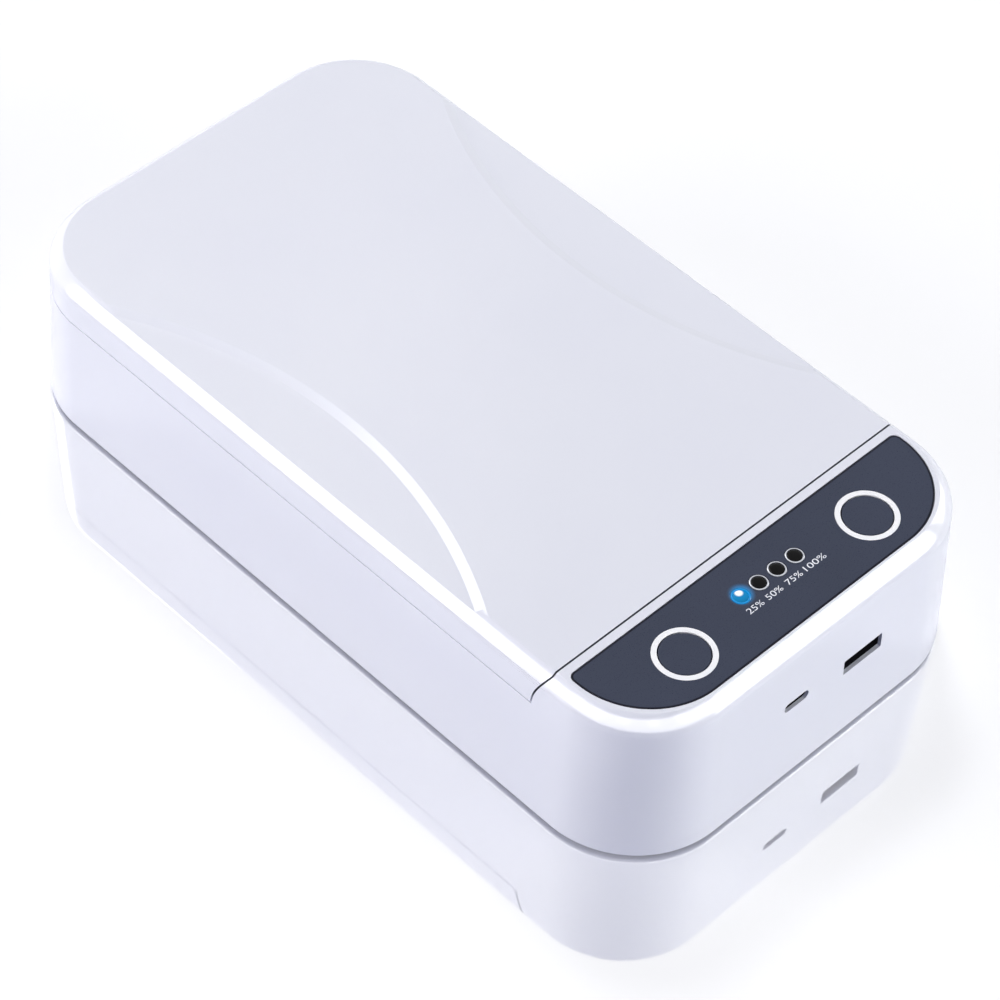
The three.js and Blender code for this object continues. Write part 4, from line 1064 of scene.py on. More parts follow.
@dataclass
class Sockets:
    """The type A output and the type C charging socket in the front wall."""

    output_x: float = 14.25
    output_z: float = 24.6
    output_width: float = 12.9
    output_height: float = 4.6
    output_corner: float = 0.35
    output_depth: float = 13.0
    output_tongue: Spot = (5.5, 1.6, 1.9)
    output_tongue_rise: float = 0.7
    output_contacts: Contacts = Contacts("output", 4, 2.4, 0.5, 2.2, 1.85, 2.0, 0.05)
    charge_x: float = -8.3
    charge_z: float = 26.2
    charge_width: float = 8.0
    charge_height: float = 2.6
    charge_depth: float = 7.5
    charge_tongue: Spot = (3.35, 0.8, 0.35)
    charge_contacts: Contacts = Contacts("charge", 6, 0.95, 0.2, 1.1, 0.33, 0.4)
    sheet: float = 0.5
    front_y: float = -106.19
    board_bottom: float = 28.6
    mouth_y: float = -108.1
    mouth_wall: float = 0.22
    mouth_fit: float = 0.02
    mouth_corner: float = 0.15

    def output_plan(self, growth: float = 0.0, corner: float | None = None) -> list[Plan]:
        """Outline of the type A opening, grown all round, with its own corner radius if none is given."""
        radius = self.output_corner if corner is None else corner
        half_w, half_h = self.output_width / 2 + growth, self.output_height / 2 + growth
        return [
            point for side, (sx, sz) in enumerate(((1, 1), (-1, 1), (-1, -1), (1, -1)))
            for point in arc(self.output_x + sx * (half_w - radius), self.output_z + sz * (half_h - radius),
                             radius, side, side + 1, 4)
        ]

    def charge_plan(self, growth: float = 0.0) -> list[Plan]:
        """Outline of the type C opening, grown all round."""
        return pill(self.charge_x, self.charge_z, self.charge_width + 2 * growth,
                    self.charge_height + 2 * growth)

    def openings(self) -> list[Blank]:
        """The two cuts through the front wall."""
        return [prism(outline, -CASE.length / 2 - OVERRUN, self.front_y + FUSE, Axis.Y)
                for outline in (self.output_plan(), self.charge_plan())]

    def build(self) -> None:
        """Makes both sockets with their tongues and contacts."""
        self.build_mouths()
        self.build_output()
        self.build_charge()

    def build_mouths(self) -> None:
        """Black sleeves of painted shade that line both openings behind the front edge of the wall, so the
        openings read dark.
        """
        y0, y1, fit = self.mouth_y, self.front_y + CASE.seat, -self.mouth_fit
        inset = fit - self.mouth_wall
        for name, outside, inside in (
                ("output", self.output_plan(fit), self.output_plan(inset, self.mouth_corner)),
                ("charge", self.charge_plan(fit), self.charge_plan(inset))):
            sleeve = prism(outside, y0, y1, Axis.Y).cut(prism(inside, y0 - 1, y1 + 1, Axis.Y))
            sleeve.become(f"{name}_socket_mouth_shade_sleeve", SOCKET_BLACK_AND_PAINTED_SHADE, Body.BASE)

    def build_output(self) -> None:
        """The type A socket."""
        x, z, w, h = self.output_x, self.output_z, self.output_width / 2, self.output_height / 2
        y0, y1 = self.front_y, self.front_y + self.output_depth
        shell = block(x - w - self.sheet, x + w + self.sheet, y0, y1, z - h - self.sheet,
                      self.board_bottom - CASE.seat)
        shell.rounded(0.25, 2)
        shell.cut(block(x - w, x + w, y0 - 1, y1 - self.sheet, z - h, z + h))
        shell.become("output_socket_shell", SOCKET_METAL_PAINTED_SHADE, Body.BASE, "usb_output_shell")
        bottom, (half, start, height) = z - h + self.output_tongue_rise, self.output_tongue
        tongue = block(x - half, x + half, y0 + start, y1 - self.sheet - CASE.seat, bottom, bottom + height)
        tongue.rounded(0.2, 2).become("output_socket_tongue", SOCKET_BLACK_AND_PAINTED_SHADE, Body.BASE, "usb_output_tongue")
        self.output_contacts.build(x, y0, y1, bottom)

    def build_charge(self) -> None:
        """The type C socket."""
        x, z, half_height = self.charge_x, self.charge_z, self.charge_height / 2
        y0, y1, half = self.front_y, self.front_y + self.charge_depth, self.charge_width / 2 + self.sheet
        shell = prism(self.charge_plan(self.sheet), y0, y1, Axis.Y)
        shell.join(block(x - half + half_height, x + half - half_height, y0 + HAIR, y1 - HAIR, z,
                         self.board_bottom - CASE.seat))
        shell.cut(prism(self.charge_plan(), y0 - 1, y1 - self.sheet, Axis.Y))
        shell.become("charge_socket_can", SOCKET_METAL_PAINTED_SHADE, Body.BASE, "charge_socket_shell")
        half, start, rise = self.charge_tongue
        tongue = block(x - half, x + half, y0 + start, y1 - self.sheet - CASE.seat, z - rise, z + rise)
        tongue.rounded(0.15, 2)
        tongue.become("charge_socket_blade", SOCKET_BLACK_AND_PAINTED_SHADE, Body.BASE, "charge_socket_tongue")
        self.charge_contacts.build(x, y0, y1, z)


@dataclass(frozen=True)
class Screw:
    """A round-headed screw with a cross recess, its shank pointing up from the head's outer face."""

    node: str
    x: float
    y: float
    head: float
    length: float
    body: Body
    head_height: float = 1.3
    radius: float = 2.5
    shank: float = 1.2
    recess: float = 0.7
    pitch: float = 0.8
    thread: float = 0.18

    def build(self) -> None:
        """Makes the screw."""
        x, y, radius, shank, top = self.x, self.y, self.radius, self.shank, self.head + self.head_height
        drive = min(0.6, self.head_height / 2)
        crown = [(radius - drive + drive * math.sin(QUARTER * step / 6),
                  self.head + drive * (1 - math.cos(QUARTER * step / 6))) for step in range(7)]
        threads: list[Plan] = []
        for turn in range(max(int((self.length - 2 * shank) / self.pitch), 1)):
            z, root = top + 0.4 + turn * self.pitch, shank - self.thread
            threads += [(shank, z), (root, z + 0.25), (root, z + 0.4), (shank, z + 0.6)]
        screw = turned(x, y, [*crown, (radius, top), (shank, top), *threads,
                              (shank, top + self.length - shank), (0.15, top + self.length)], 40)
        screw.cut(*[slab(x, y, width, length, self.head - 1, self.head + drive)
                    for width, length in ((self.recess, radius), (radius, self.recess))])
        screw.become(f"{self.node}_steel", SCREW_STEEL, self.body, self.node)


@dataclass
class BaseCase:
    """The lower shell with its deck, and what closes it from below."""

    cover_bottom: float = 1.1
    cover_top: float = 3.5
    boss_x: float = 48.05
    boss_y: float = 97.85
    boss_radius: float = 3.9
    boss_height: float = 11.0
    bulkhead: float = 2.0
    ledge: float = 1.6
    bulkhead_depth: float = 26.0
    board_boss_x: float = 18.0
    board_boss_y: float = -86.0
    board_boss_radius: float = 3.0
    board_top: float = 30.2
    board_hole: float = 8.0
    boss_hole: float = 9.0
    skin: float = 0.9
    screw_length: float = 8.7
    foot_x: float = 40.0
    foot_y: float = 76.0
    foot_radius: float = 6.5
    foot_seat: float = 0.9

    @property
    def bosses(self) -> list[Plan]:
        """Places of the four screws through the cover."""
        return corners(self.boss_x, self.boss_y)

    @property
    def board_bosses(self) -> list[Plan]:
        """Places of the two screws of the control board."""
        return [(side * self.board_boss_x, self.board_boss_y) for _, side in SIDES]

    def build(self, panel: Panel, sockets: Sockets) -> None:
        """Makes the shell, the cover, its screws and feet."""
        self.build_shell(panel, sockets)
        self.build_cover()
        head = self.cover_top - self.skin - CASE.seat - Screw.head_height
        for number, (sx, sy) in enumerate(sorted(corners(1, 1), key=lambda place: place[1]), 1):
            Screw(f"cover_screw_{number}", sx * self.boss_x, sy * self.boss_y, head, self.screw_length,
                  Body.BASE).build()
            self.build_foot(number, sx * self.foot_x, sy * self.foot_y)

    def build_shell(self, panel: Panel, sockets: Sockets) -> None:
        """Side walls, control deck, bulkhead, rim and base knuckles."""
        under = CASE.height - CASE.deck
        low, foot, cover = under - self.bulkhead_depth, CASE.base_foot_y, self.cover_top + CASE.seat
        back, flange = foot - self.bulkhead, CASE.flange_bottom - CASE.seat
        shell = CASE.outer().cut(CASE.hollow(CASE.wall, CASE.deck, -OVERRUN))
        inner = [
            CASE.lid_room(CASE.base_seam_y - self.bulkhead, CASE.base_rim_z).cut(CASE.behind(foot)),
            block(-CASE.width, CASE.width, back, foot, low, CASE.base_rim_z + FUSE),
            block(-CASE.width, CASE.width, back, foot + self.ledge, low, flange),
            *[post(x, y, self.boss_radius, cover, cover + self.boss_height) for x, y in self.bosses],
        ]
        shell.join(
            *[piece.meet(CASE.outer()) for piece in inner],
            *[post(x, y, self.board_boss_radius, self.board_top + CASE.seat, under + FUSE)
              for x, y in self.board_bosses])
        shell.cut(
            CASE.lid_room(CASE.base_seam_y, CASE.base_rim_z),
            CASE.form(CASE.rim_lip, flange, CASE.height).meet(CASE.behind(foot)),
            *[CASE.knuckle_room(x, CASE.lid_knuckle) for x in CASE.lid_knuckles])
        shell.rounded(CASE.seam_round, 3, 50)
        shell.cut(
            prism(panel.outline(CASE.fit), panel.bottom - CASE.seat, CASE.height + OVERRUN),
            *[post(x, y, panel.cap_radius + CASE.run, under - 5, CASE.height)
              for _, _, (x, y) in panel.buttons],
            *[post(x, y, panel.light_stem + CASE.fit, under - 5, CASE.height) for x, y in panel.lights],
            *[post(x, y, PILOT, low, low + depth) for places, low, depth in (
                (self.board_bosses, self.board_top, self.board_hole),
                (self.bosses, self.cover_top, self.boss_hole)) for x, y in places],
            *sockets.openings())
        half = CASE.base_knuckle / 2
        shell.join(*[CASE.barrel(x, CASE.knuckle_radius, half) for x in CASE.base_knuckles])
        shell.cut(*CASE.bores(CASE.base_knuckles, CASE.base_knuckle))
        shell.become("lower_case", PALE_SHELL, Body.BASE, "base_shell")

    def build_cover(self) -> None:
        """The bottom cover with its screw seats and foot seats."""
        plate = CASE.form(CASE.wall + CASE.fit, self.cover_bottom, self.cover_top).rounded(0.3, 2)
        plate.cut(*[
            post(x, y, radius, -OVERRUN, top) for places, radius, top in (
                (corners(self.foot_x, self.foot_y), self.foot_radius + CASE.fit,
                 self.cover_bottom + self.foot_seat),
                (self.bosses, Screw.shank + CASE.fit, OVERRUN),
                (self.bosses, Screw.radius + CASE.run, self.cover_top - self.skin)) for x, y in places])
        plate.become("bottom_plate", PALE_SHELL, Body.BASE, "bottom_cover")

    def build_foot(self, number: int, x: float, y: float) -> None:
        """A rubber foot with a round lower edge and a shallow ring groove."""
        r, top = self.foot_radius, self.cover_bottom + self.foot_seat - CASE.seat
        foot = turned(x, y, [
            (r - 0.5, 0), (r - 0.32, 0.05), (r - 0.12, 0.18), (r - 0.02, 0.38), (r, 0.55), (r, top)], 64)
        groove = post(x, y, r - 1.4, -1, 0.25, 64).cut(post(x, y, r - 2.0, -2, 1, 64))
        foot.cut(groove).become(f"rubber_foot_{number}", RUBBER, Body.BASE, f"foot_{number}")


@dataclass(frozen=True)
class Lamp:
    """A cold-cathode tube with a cup and a lead in each end, held by a block at each end."""

    node: str
    z: float
    body: Body
    glass: float = 0.35
    tip: float = 0.08
    grip_reach: float = 6.0
    grip_length: float = 10.0

    def along(self, pairs: Iterable[Plan], steps: int = 32) -> Blank:
        """A turned form on the lamp's axis; its pairs of radius and place come in any order."""
        return rod(Axis.Y, 0, CASE.chamber_y, self.z, sorted(pairs, key=lambda pair: pair[1]), steps)

    def build(self, form: str, grip: Callable[[float, float, float], Blank]) -> None:
        """Makes the tube, its electrodes and its two holders.

        Args:
            form: What a holder is called.
            grip: Makes a holder's outside from its two ends along Y and the lamp's height.
        """
        self.build_tube()
        half = CASE.lamp_length / 2
        for name, end in ENDS:
            inner = CASE.chamber_y + end * (half - self.grip_reach)
            y0, y1 = sorted((inner, inner + end * self.grip_length))
            bore = CASE.lamp_radius + CASE.fit
            holder = grip(y0, y1, self.z).cut(self.along([(bore, 0.0), (bore, end * (half + CASE.fit))]))
            holder.become(f"{self.node}_{form}_{name}", SILICONE, self.body, f"{self.node}_holder_{name}")

    def build_tube(self) -> None:
        """The clear glass and what stands in its ends."""
        half, r, bore = CASE.lamp_length / 2, CASE.lamp_radius, CASE.lamp_radius - self.glass
        dome = [(max(r * math.sin(QUARTER * step / 8), self.tip),
                 half - r + r * math.cos(QUARTER * step / 8)) for step in range(9)]
        tube = self.along([*[(a, -b) for a, b in dome], *reversed(dome)])
        tube.cut(self.along([(radius, end * (half - inset)) for _, end in ENDS
                             for radius, inset in ((0.1, 2.2), (bore, 3.4))]))
        tube.become(f"{self.node}_tube", LAMP_GLASS, self.body, self.node)
        for name, end in ENDS:
            cup = [(radius, end * (half - inset)) for radius, inset in (
                (0.75, 12), (0.85, 11.6), (0.85, 6.4), (0.3, 6), (0.3, 3.5))]
            self.along(cup, 24).become(f"{self.node}_electrode_{name}", LAMP_CAP, self.body, self.node)


@dataclass(frozen=True)
class Reflector:
    """The folded sheet behind a lamp, from the height of its back; it opens upward (1) or downward (-1)."""

    node: str
    back: float
    rise: float
    direction: int
    body: Body
    foot: float = 0.0
    flat: float = 4.5
    sheet: float = 0.4
    short: float = 6.5

    def build(self) -> None:
        """Makes the sheet, with its edges turned out where it has a foot."""
        flat, sheet, half = self.flat, self.sheet, CASE.lamp_length / 2 - self.short
        mouth = CASE.trough_width / 2 - CASE.fit - sheet
        step, edge = sheet * self.direction, self.back + self.rise * self.direction
        outer = ([(-mouth, edge - step), (-mouth - self.foot, edge - step), (-mouth - self.foot, edge)]
                 if self.foot else [(-mouth, edge)])
        left = [(-flat, self.back), *outer, (-mouth + sheet, edge), (-flat + sheet, self.back + step)]
        outline = left + [(-x, z) for x, z in reversed(left)]
        folded = prism(outline, CASE.chamber_y - half, CASE.chamber_y + half, Axis.Y).rounded(0.08, 2)
        folded.become(f"{self.node}_sheet", MIRROR, self.body, self.node)


@dataclass
class Lid:
    """The lid: its shell, liner, lamp and reflector."""

    crescent_drop: float = 0.7
    crescent_edge: float = 2.4
    crescent_radius: float = 124.8
    crescent_x: float = 162.8
    crescent_y: float = 9.5
    crescent_steps: int = 960
    boss_inset: float = 12.0
    boss_radius: float = 3.2
    screw_hole: float = 2.6
    head_room: float = 2.65
    head_seat: float = 0.6
    lamp_drop: float = 2.3
    mirror_foot: float = 1.8
    grip_half: float = 3.0
    grip_rise: float = 1.8

    def crescent(self, side: int) -> Blank:
        """The cutter of one crescent: a wide shallow dish whose rim slopes up to the lid's top.

        Args:
            side: -1 for the left crescent and 1 for the right one.

        Returns:
            The cutter.
        """
        floor, half = CASE.height - self.crescent_drop, self.crescent_edge / 2
        rise = (0.0, 0.012, 0.05, 0.95, 0.99, 1.02)
        reach = (-1.12, -1.0, -0.88, 0.9, 1.04, 1.25)
        rim = [(self.crescent_radius + half * r, floor + self.crescent_drop * z)
               for r, z in zip(reach, rise)]
        rim.append((rim[-1][0], CASE.height + OVERRUN))
        return turned(side * self.crescent_x, self.crescent_y, rim, self.crescent_steps)

    def grip(self, y0: float, y1: float, z: float) -> Blank:
        """The outside of a silicone block on an end of the lamp."""
        half, rise = self.grip_half, self.grip_rise
        return block(-half, half, y0, y1, z - rise, z + rise).rounded(0.5)

    def build(self) -> None:
        """Makes every piece of the lid."""
        self.build_shell()
        self.build_liner()
        under = CASE.height - CASE.lid_top
        back = under - CASE.run
        Reflector("lid_reflector", back, back - CASE.liner_top - CASE.seat, -1, Body.LID,
                  self.mirror_foot).build()
        Lamp("upper_lamp", under - self.lamp_drop, Body.LID).build("block", self.grip)

    def build_shell(self) -> None:
        """The lid's shell with its two crescents and knuckles."""
        room = CASE.lid_room(CASE.lid_seam_y + CASE.lid_wall, CASE.lid_rim_z)
        room.join(CASE.behind(CASE.lid_foot_y + CASE.lid_wall))
        shell = CASE.outer().cut(self.crescent(-1), self.crescent(1))
        shell.meet(CASE.lid_room(CASE.lid_seam_y, CASE.lid_rim_z))
        shell.cut(CASE.hollow(CASE.lid_wall, CASE.lid_top, 0).meet(room)).rounded(CASE.seam_round, 3, 50)
        low, high = CASE.liner_top + CASE.seat, CASE.height - CASE.lid_top + FUSE
        bosses = [post(x, y, self.boss_radius, low, high) for x, y in self.bosses]
        front = CASE.hinge_y - CASE.knuckle_radius
        rear = CASE.length / 2 - CASE.lean_at(CASE.lid_rim_z + FUSE) - CASE.run
        half = CASE.lid_knuckle / 2
        arms = [
            CASE.barrel(x, CASE.knuckle_radius, half)
            .join(block(x - half, x + half, front, rear, CASE.hinge_z, CASE.lid_rim_z + 2 * FUSE))
            for x in CASE.lid_knuckles
        ]
        shell.join(*bosses, *arms)
        shell.cut(*CASE.bores(CASE.lid_knuckles, CASE.lid_knuckle),
                  *[post(x, y, PILOT, CASE.liner_top, CASE.liner_top + self.screw_hole)
                    for x, y in self.screws])
        cover = shell.become("lid_cover", PALE_SHELL, Body.LID, "lid_shell")
        # Painted shade: faces at the seam get the dark seam finish in place of the gap's shadow.
        shade_faces(cover, SEAM_PAINTED_SHADE, lambda normal, middle: (
            normal.y < -0.6 and CASE.lid_seam_y - 1 < middle.y < CASE.lid_foot_y + 1))

    @property
    def screws(self) -> list[Plan]:
        """Middles of the two liner screws."""
        x = CASE.width / 2 - CASE.lid_wall - CASE.run - self.boss_inset
        y = CASE.lid_foot_y + CASE.lid_wall + CASE.run + self.boss_inset
        return [(side * x, y) for _, side in SIDES]

    @property
    def bosses(self) -> list[Plan]:
        """Middles of the six bosses that the liner rests on."""
        x = self.screws[1][0]
        rear = CASE.chamber_y + CASE.chamber_length / 2 - self.boss_inset
        return [*self.screws, (-x, CASE.chamber_y), (x, CASE.chamber_y), (-x, rear), (x, rear)]

    def build_liner(self) -> None:
        """The plate under the lid, open over the lamp, with its screws."""
        low, high, seat = CASE.liner_bottom - 5, CASE.liner_top + 5, CASE.liner_top - self.head_seat
        plate = CASE.form(CASE.lid_wall + CASE.run, CASE.liner_bottom, CASE.liner_top).meet(
            CASE.behind(CASE.lid_foot_y + CASE.lid_wall + CASE.run))
        plate.cut(rounded_box(CASE.trough_width, CASE.trough_length, 1.0, low, high, y=CASE.chamber_y,
                              corner_steps=8)).rounded(0.2, 2)
        plate.cut(*[post(x, y, PILOT, low, high) for x, y in self.screws],
                  *[post(x, y, self.head_room, low, seat) for x, y in self.screws])
        plate.become("lid_liner_plate", LINER_WHITE, Body.LID, "lid_liner")
        for (x, y), (name, _) in zip(self.screws, SIDES):
            Screw(f"liner_screw_{name}", x, y, seat - CASE.seat - 0.7, 2.3, Body.LID, 0.7).build()


@dataclass
class Chamber:
    """The sterilizing tub with its lamp trough, guard and aroma well."""

    wall: float = 1.2
    taper: float = 1.5
    fillet: float = 3.0
    border: float = 1.6
    guard_thickness: float = 1.6
    rail: float = 2.6
    bar: float = 1.6
    bars: int = 11
    lamp_rise: float = 2.4
    mirror_rise: float = 4.6
    boot_radius: float = 2.4
    boot_round: float = 0.3
    aroma_y: float = -68.15
    aroma_length: float = 22.0
    aroma_width: float = 5.4
    aroma_depth: float = 6.0
    aroma_slots: int = 7
    aroma_wall: float = 1.0
    pad_play: float = 0.6
    pad_drop: float = 1.1
    cover_ledge: float = 0.6
    cover_fit: float = 0.45
    cover_thickness: float = 0.8
    slot_width: float = 1.1
    slot_margin: float = 0.6

    def build(self) -> None:
        """Makes the tub and what lies in it."""
        floor = CASE.trough_floor + CASE.seat
        self.build_tub()
        self.build_guard()
        Reflector("lower_reflector", floor, self.mirror_rise, 1, Body.BASE).build()
        Lamp("lower_lamp", floor + self.lamp_rise, Body.BASE).build("boot", self.grip)
        self.build_aroma()

    def grip(self, y0: float, y1: float, z: float) -> Blank:
        """The outside of a silicone boot on an end of the lamp."""
        half, r, soft = (y1 - y0) / 2, self.boot_radius, self.boot_round
        boot = rod(Axis.Y, 0, (y0 + y1) / 2, z,
                   [(r - soft, -half), (r, -half + soft), (r, half - soft), (r - soft, half)])
        return boot.join(block(-r, r, y0 + soft, y1 - soft, CASE.trough_floor + CASE.seat, z))

    def tub(self, growth: float, bottom: float, top: float) -> Blank:
        """The tub's rounded form, grown all round."""
        return rounded_box(
            CASE.chamber_width + 2 * growth, CASE.chamber_length + 2 * growth, CASE.chamber_radius + growth,
            bottom, top, y=CASE.chamber_y, bottom_round=self.fillet + growth, taper=self.taper,
            steps=12, corner_steps=28)

    def trough(self, growth: float, bottom: float, top: float) -> Blank:
        """The lamp trough's form, grown all round."""
        return slab(0, CASE.chamber_y, CASE.trough_width + 2 * growth, CASE.trough_length + 2 * growth,
                    bottom, top)

    def well(self, growth: float, bottom: float, top: float) -> Blank:
        """The aroma well's form, grown all round."""
        return slab(0, self.aroma_y, self.aroma_length + 2 * growth, self.aroma_width + 2 * growth,
                    bottom, top)

    def build_tub(self) -> None:
        """The tub with its rim, trough and aroma well."""
        floor, rim_z, guard_seat = CASE.chamber_floor, CASE.base_rim_z, self.guard_bottom - CASE.seat
        rim = CASE.form(CASE.rim_lip + CASE.fit, CASE.flange_bottom, rim_z).meet(
            CASE.behind(CASE.base_foot_y + CASE.fit))
        rim.join(
            self.tub(self.wall, floor - self.wall, rim_z - FUSE),
            self.trough(self.wall, CASE.trough_floor - self.wall, floor - FUSE),
            self.trough(self.border + self.wall, guard_seat - self.wall, floor - FUSE),
            self.well(self.aroma_wall, rim_z - self.aroma_depth - self.aroma_wall,
                      CASE.flange_bottom + FUSE))
        rim.cut(
            self.tub(0, floor, rim_z + FUSE),
            self.trough(0, CASE.trough_floor, floor + FUSE),
            self.trough(self.border, guard_seat, floor + FUSE),
            self.well(0, rim_z - self.aroma_depth, CASE.height + OVERRUN),
            self.well(self.cover_ledge, rim_z - self.cover_thickness - CASE.seat, CASE.height + OVERRUN),
            *[CASE.knuckle_room(x, CASE.hinge_span) for x in CASE.base_knuckles])
        rim.rounded(0.3, 3, 50).become("chamber_tub", LINER_WHITE, Body.BASE, "chamber_liner")

    @property
    def guard_bottom(self) -> float:
        """Height of the lamp guard's underside."""
        return CASE.chamber_floor - self.guard_thickness

    def build_guard(self) -> None:
        """The ladder grille over the lower lamp."""
        grow = 2 * (self.border - CASE.fit)
        width, length = CASE.trough_width + grow, CASE.trough_length + grow
        z0, z1 = self.guard_bottom, CASE.chamber_floor
        pitch, start = length / (self.bars + 1), CASE.chamber_y - length / 2
        windows = []
        for gap in range(self.bars + 1):
            y0 = start + (self.rail if gap == 0 else pitch * gap + self.bar / 2)
            y1 = start + (length - self.rail if gap == self.bars else pitch * (gap + 1) - self.bar / 2)
            windows.append(rounded_box(width - 2 * self.rail, y1 - y0, 0.8, z0 - 1, z1 + 1,
                                       y=(y0 + y1) / 2, corner_steps=6))
        guard = slab(0, CASE.chamber_y, width, length, z0, z1).cut(*windows).rounded(0.35)
        guard.become("guard_grille", LINER_WHITE, Body.BASE, "lamp_guard")

    def build_aroma(self) -> None:
        """The felt pad in its well and the slotted cover over it."""
        top, length, width = CASE.base_rim_z, self.aroma_length, self.aroma_width
        pad = rounded_box(
            length - self.pad_play, width - self.pad_play, 0.9, top - self.aroma_depth + CASE.seat,
            top - self.pad_drop, y=self.aroma_y, bottom_round=0.8, top_round=0.9, steps=6, corner_steps=8)
        felt = pad.become("aroma_felt_pad", FELT, Body.BASE, "aroma_pad", sharp=80)
        cover = rounded_box(
            length + 2 * self.cover_fit, width + 2 * self.cover_fit, 0.6, top - self.cover_thickness, top,
            y=self.aroma_y, top_round=0.25, steps=4, corner_steps=8)
        pitch, middle = length / self.aroma_slots, (self.aroma_slots - 1) / 2
        slot = rounded_loop(0, self.aroma_y, self.slot_width, width - 2 * self.slot_margin, 0.5, 8)
        cover.cut(*[prism([(x + (number - middle) * pitch, y) for x, y in slot], top - 5, top + 5)
                    for number in range(self.aroma_slots)])
        cover.become("aroma_slotted_cover", LINER_WHITE, Body.BASE, "aroma_cover")


def build_pins() -> None:
    """The two pins that carry the lid, with their rounded ends."""
    half, r, soft = CASE.hinge_span / 2, CASE.pin_radius, 0.2
    for name, side in SIDES:
        pin = rod(Axis.X, side * CASE.hinge_spread, CASE.hinge_y, CASE.hinge_z, [
            (r - soft, -half), (r, -half + soft), (r, half - soft), (r - soft, half)], 24)
        pin.become(f"hinge_rod_{name}", SCREW_STEEL, Body.BASE, f"hinge_pin_{name}")


INSIDE = (
    (BOARD_GREEN, ("control_board", "power_board")),
    (PACK_FILM, ("battery_pack",)),
    (FERRITE, ("lamp_transformer",)),
    (LEAD_RED, ("battery_lead", "board_lead")),
    (DARK_PLASTIC, ("lid_sensor", "sterilize_switch", "aroma_switch")),
    (MAGNET_METAL, ("base_magnet_left", "base_magnet_right", "lid_magnet_left", "lid_magnet_right")),
    (SCREW_STEEL, ("board_screw_left", "board_screw_right")),
)


def dress_inside() -> None:
    """Gives each plain solid inside the case its finish; it keeps its shape."""
    for finish, names in INSIDE:
        for name in names:
            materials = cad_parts[name].data.materials
            if not materials:
                materials.append(finish.material())
            for place in range(len(materials)):
                materials[place] = finish.material()
            log.info("%s: finish %s", name, finish.name)


# Studio


@dataclass(frozen=True)
class Softbox:
    """A softbox that faces the box; one for highlights shows in glossy surfaces and lights nothing."""

    name: str
    azimuth: float
    elevation: float
    width: float
    height: float
    radiance: float
    color: Spot = (1.0, 1.0, 1.0)
    highlight: bool = False
    distance: float = 1.3

    def build(self) -> None:
        """Places the softbox and turns it to the box."""
        around, up = math.radians(self.azimuth), math.radians(self.elevation)
        place = Vector((math.cos(around) * math.cos(up), math.sin(around) * math.cos(up), math.sin(up)))
        data = bpy.data.lights.new(self.name, "AREA")
        data.shape, data.size, data.size_y = "RECTANGLE", self.width, self.height
        data.energy = 2 * QUARTER * self.width * self.height * self.radiance
        data.color = self.color
        light = bpy.data.objects.new(self.name, data)
        light.location = place * self.distance
        light.rotation_euler = (-place).to_track_quat("-Z", "Y").to_euler()
        light.visible_diffuse = not self.highlight
        light.visible_glossy = self.highlight
        bpy.context.scene.collection.objects.link(light)


SOFT_LAMPS = tuple(Softbox(*values, distance=2.6) for values in (
    ("lamp_left", 142, 12, 1.8, 1.8, 9.6, (1.0, 0.98, 0.93)),
    ("lamp_low_right", 302, 12, 1.8, 1.8, 5.0, (1.0, 0.99, 0.78)),
    ("lamp_front", 280, 14, 1.8, 1.8, 3.1, (1.0, 1.0, 1.12)),
    ("lamp_behind", 52, 48.5, 0.5, 0.5, 41.0, (1.0, 1.0, 0.96)),
))
HIGHLIGHTS = tuple(Softbox(*values, highlight=True) for values in (
    ("strip_left", 146, 17, 0.6, 0.85, 4.0),
    ("strip_front", 304, 18, 0.62, 0.9, 5.4),
    ("strip_right", 342, 18, 0.6, 0.7, 3.8),
    *[(f"strip_corner_{number}", azimuth, 27, 0.6, 0.8, 3.8)
      for number, azimuth in enumerate((172, 198, 225, 252, 278), 1)],
    ("strip_crescent", 82, 48, 0.5, 0.6, 2.9),
))
WHITE = (1.0, 1.0, 1.0, 1.0)


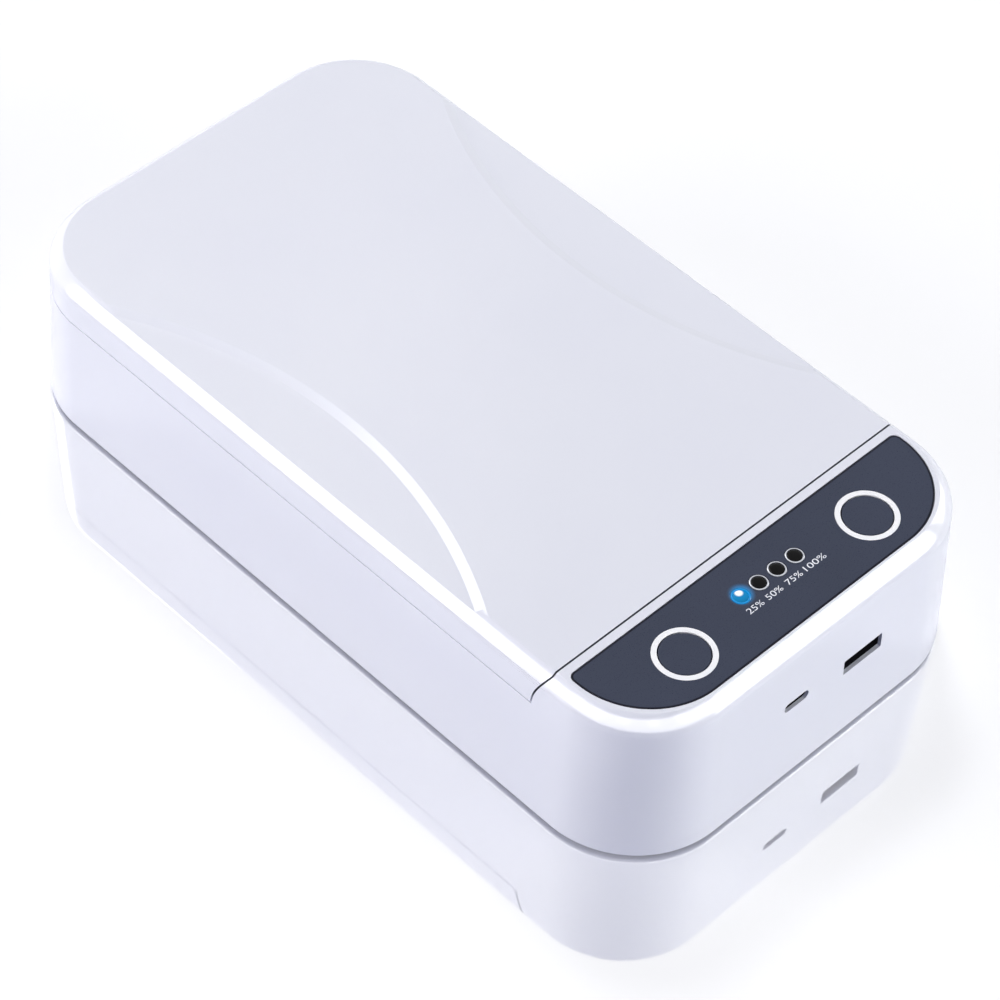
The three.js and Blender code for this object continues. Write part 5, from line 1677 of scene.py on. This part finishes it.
@dataclass
class Studio:
    """The floor, the soft lights, the pale surroundings and the camera."""

    floor_size: float = 6.0
    floor_glow: float = 0.05
    floor_gloss: float = 0.62
    floor_color: str = "f8f9ff"
    floor_bounce: str = "8c90a8"
    sky_color: str = "bcc2ff"
    sky_strength: float = 0.17
    azimuth: float = -46.8221
    elevation: float = 48.4863
    roll: float = 3.4248
    distance: float = 0.892229
    target: Spot = (-0.011353, -0.016207, 0.019636)
    lens: float = 134.80
    sensor: float = 36.0

    def build(self) -> None:
        """Sets up the camera first, then the floor, lights and world."""
        bpy.context.scene.view_settings.view_transform = "Standard"
        self.build_camera()
        self.build_floor()
        for lamp in SOFT_LAMPS + HIGHLIGHTS:
            lamp.build()
        self.build_world()

    def build_camera(self) -> None:
        """The camera at the photograph's place."""
        a, e, roll = (math.radians(value) for value in (self.azimuth, self.elevation, self.roll))
        back = Vector((math.sin(a) * math.cos(e), -math.cos(a) * math.cos(e), math.sin(e)))
        right = Vector((math.cos(a), math.sin(a), 0))
        up = back.cross(right)
        x_axis = math.cos(roll) * right + math.sin(roll) * up
        y_axis = -math.sin(roll) * right + math.cos(roll) * up
        data = bpy.data.cameras.new("camera")
        data.lens, data.sensor_width = self.lens, self.sensor
        data.clip_start = 0.05
        camera = bpy.data.objects.new("camera", data)
        turn = Matrix((x_axis, y_axis, back)).transposed().to_4x4()
        turn.translation = Vector(self.target) + back * self.distance
        camera.matrix_world = turn
        bpy.context.scene.collection.objects.link(camera)
        bpy.context.scene.camera = camera

    def build_floor(self) -> None:
        """The floor on which the box stands."""
        half = self.floor_size / 2
        mesh = bpy.data.meshes.new("studio_floor")
        mesh.from_pydata([(-half, -half, 0), (half, -half, 0), (half, half, 0), (-half, half, 0)], [],
                         [(0, 1, 2, 3)])
        mesh.materials.append(self.floor_material())
        floor = bpy.data.objects.new("studio_floor", mesh)
        bpy.context.scene.collection.objects.link(floor)

    def floor_material(self) -> bpy.types.Material:
        """A pale gloss that shows white to the camera, keeps the shadow and mirrors the box."""
        board = Paint("floor_white")
        sight = board.in_sight()
        board.give(board.shader, Roughness=0.9, Specular_IOR_Level=0.0,
                   Base_Color=board.tint(sight, self.floor_bounce, self.floor_color))
        camera = board.lay("LightPath").outputs["Is Camera Ray"]
        mirror = board.lay("BsdfAnisotropic", Color=WHITE, Roughness=0.03)
        glow = board.lay("Emission", Color=WHITE, Strength=board.reckon("MULTIPLY", sight, self.floor_glow))
        polish = board.chain("MixShader", board.reckon("MULTIPLY", camera, self.floor_gloss),
                             board.shader.outputs["BSDF"], mirror.outputs["BSDF"])
        board.give(board.output, Surface=board.chain("AddShader", polish, glow.outputs["Emission"]))
        return board.material

    def build_world(self) -> None:
        """Pale surroundings with a cool cast, white where the camera sees them."""
        world = bpy.data.worlds.new("studio_world")
        bpy.context.scene.world = world
        board = Board(world)
        cool = board.lay("Background", Color=linear(self.sky_color), Strength=self.sky_strength)
        white = board.lay("Background", Color=WHITE, Strength=1.0)
        board.lay("OutputWorld", Surface=board.chain(
            "MixShader", board.in_sight(), cool.outputs["Background"], white.outputs["Background"]))


def main() -> None:
    """Builds each sub-assembly in order."""
    logging.basicConfig(level=logging.INFO, format="%(name)s %(message)s")
    Studio().build()
    panel, sockets = Panel(), Sockets()
    BaseCase().build(panel, sockets)
    for part in (panel, sockets, Lid(), Chamber()):
        part.build()
    build_pins()
    dress_inside()


if __name__ == "__main__":
    main()
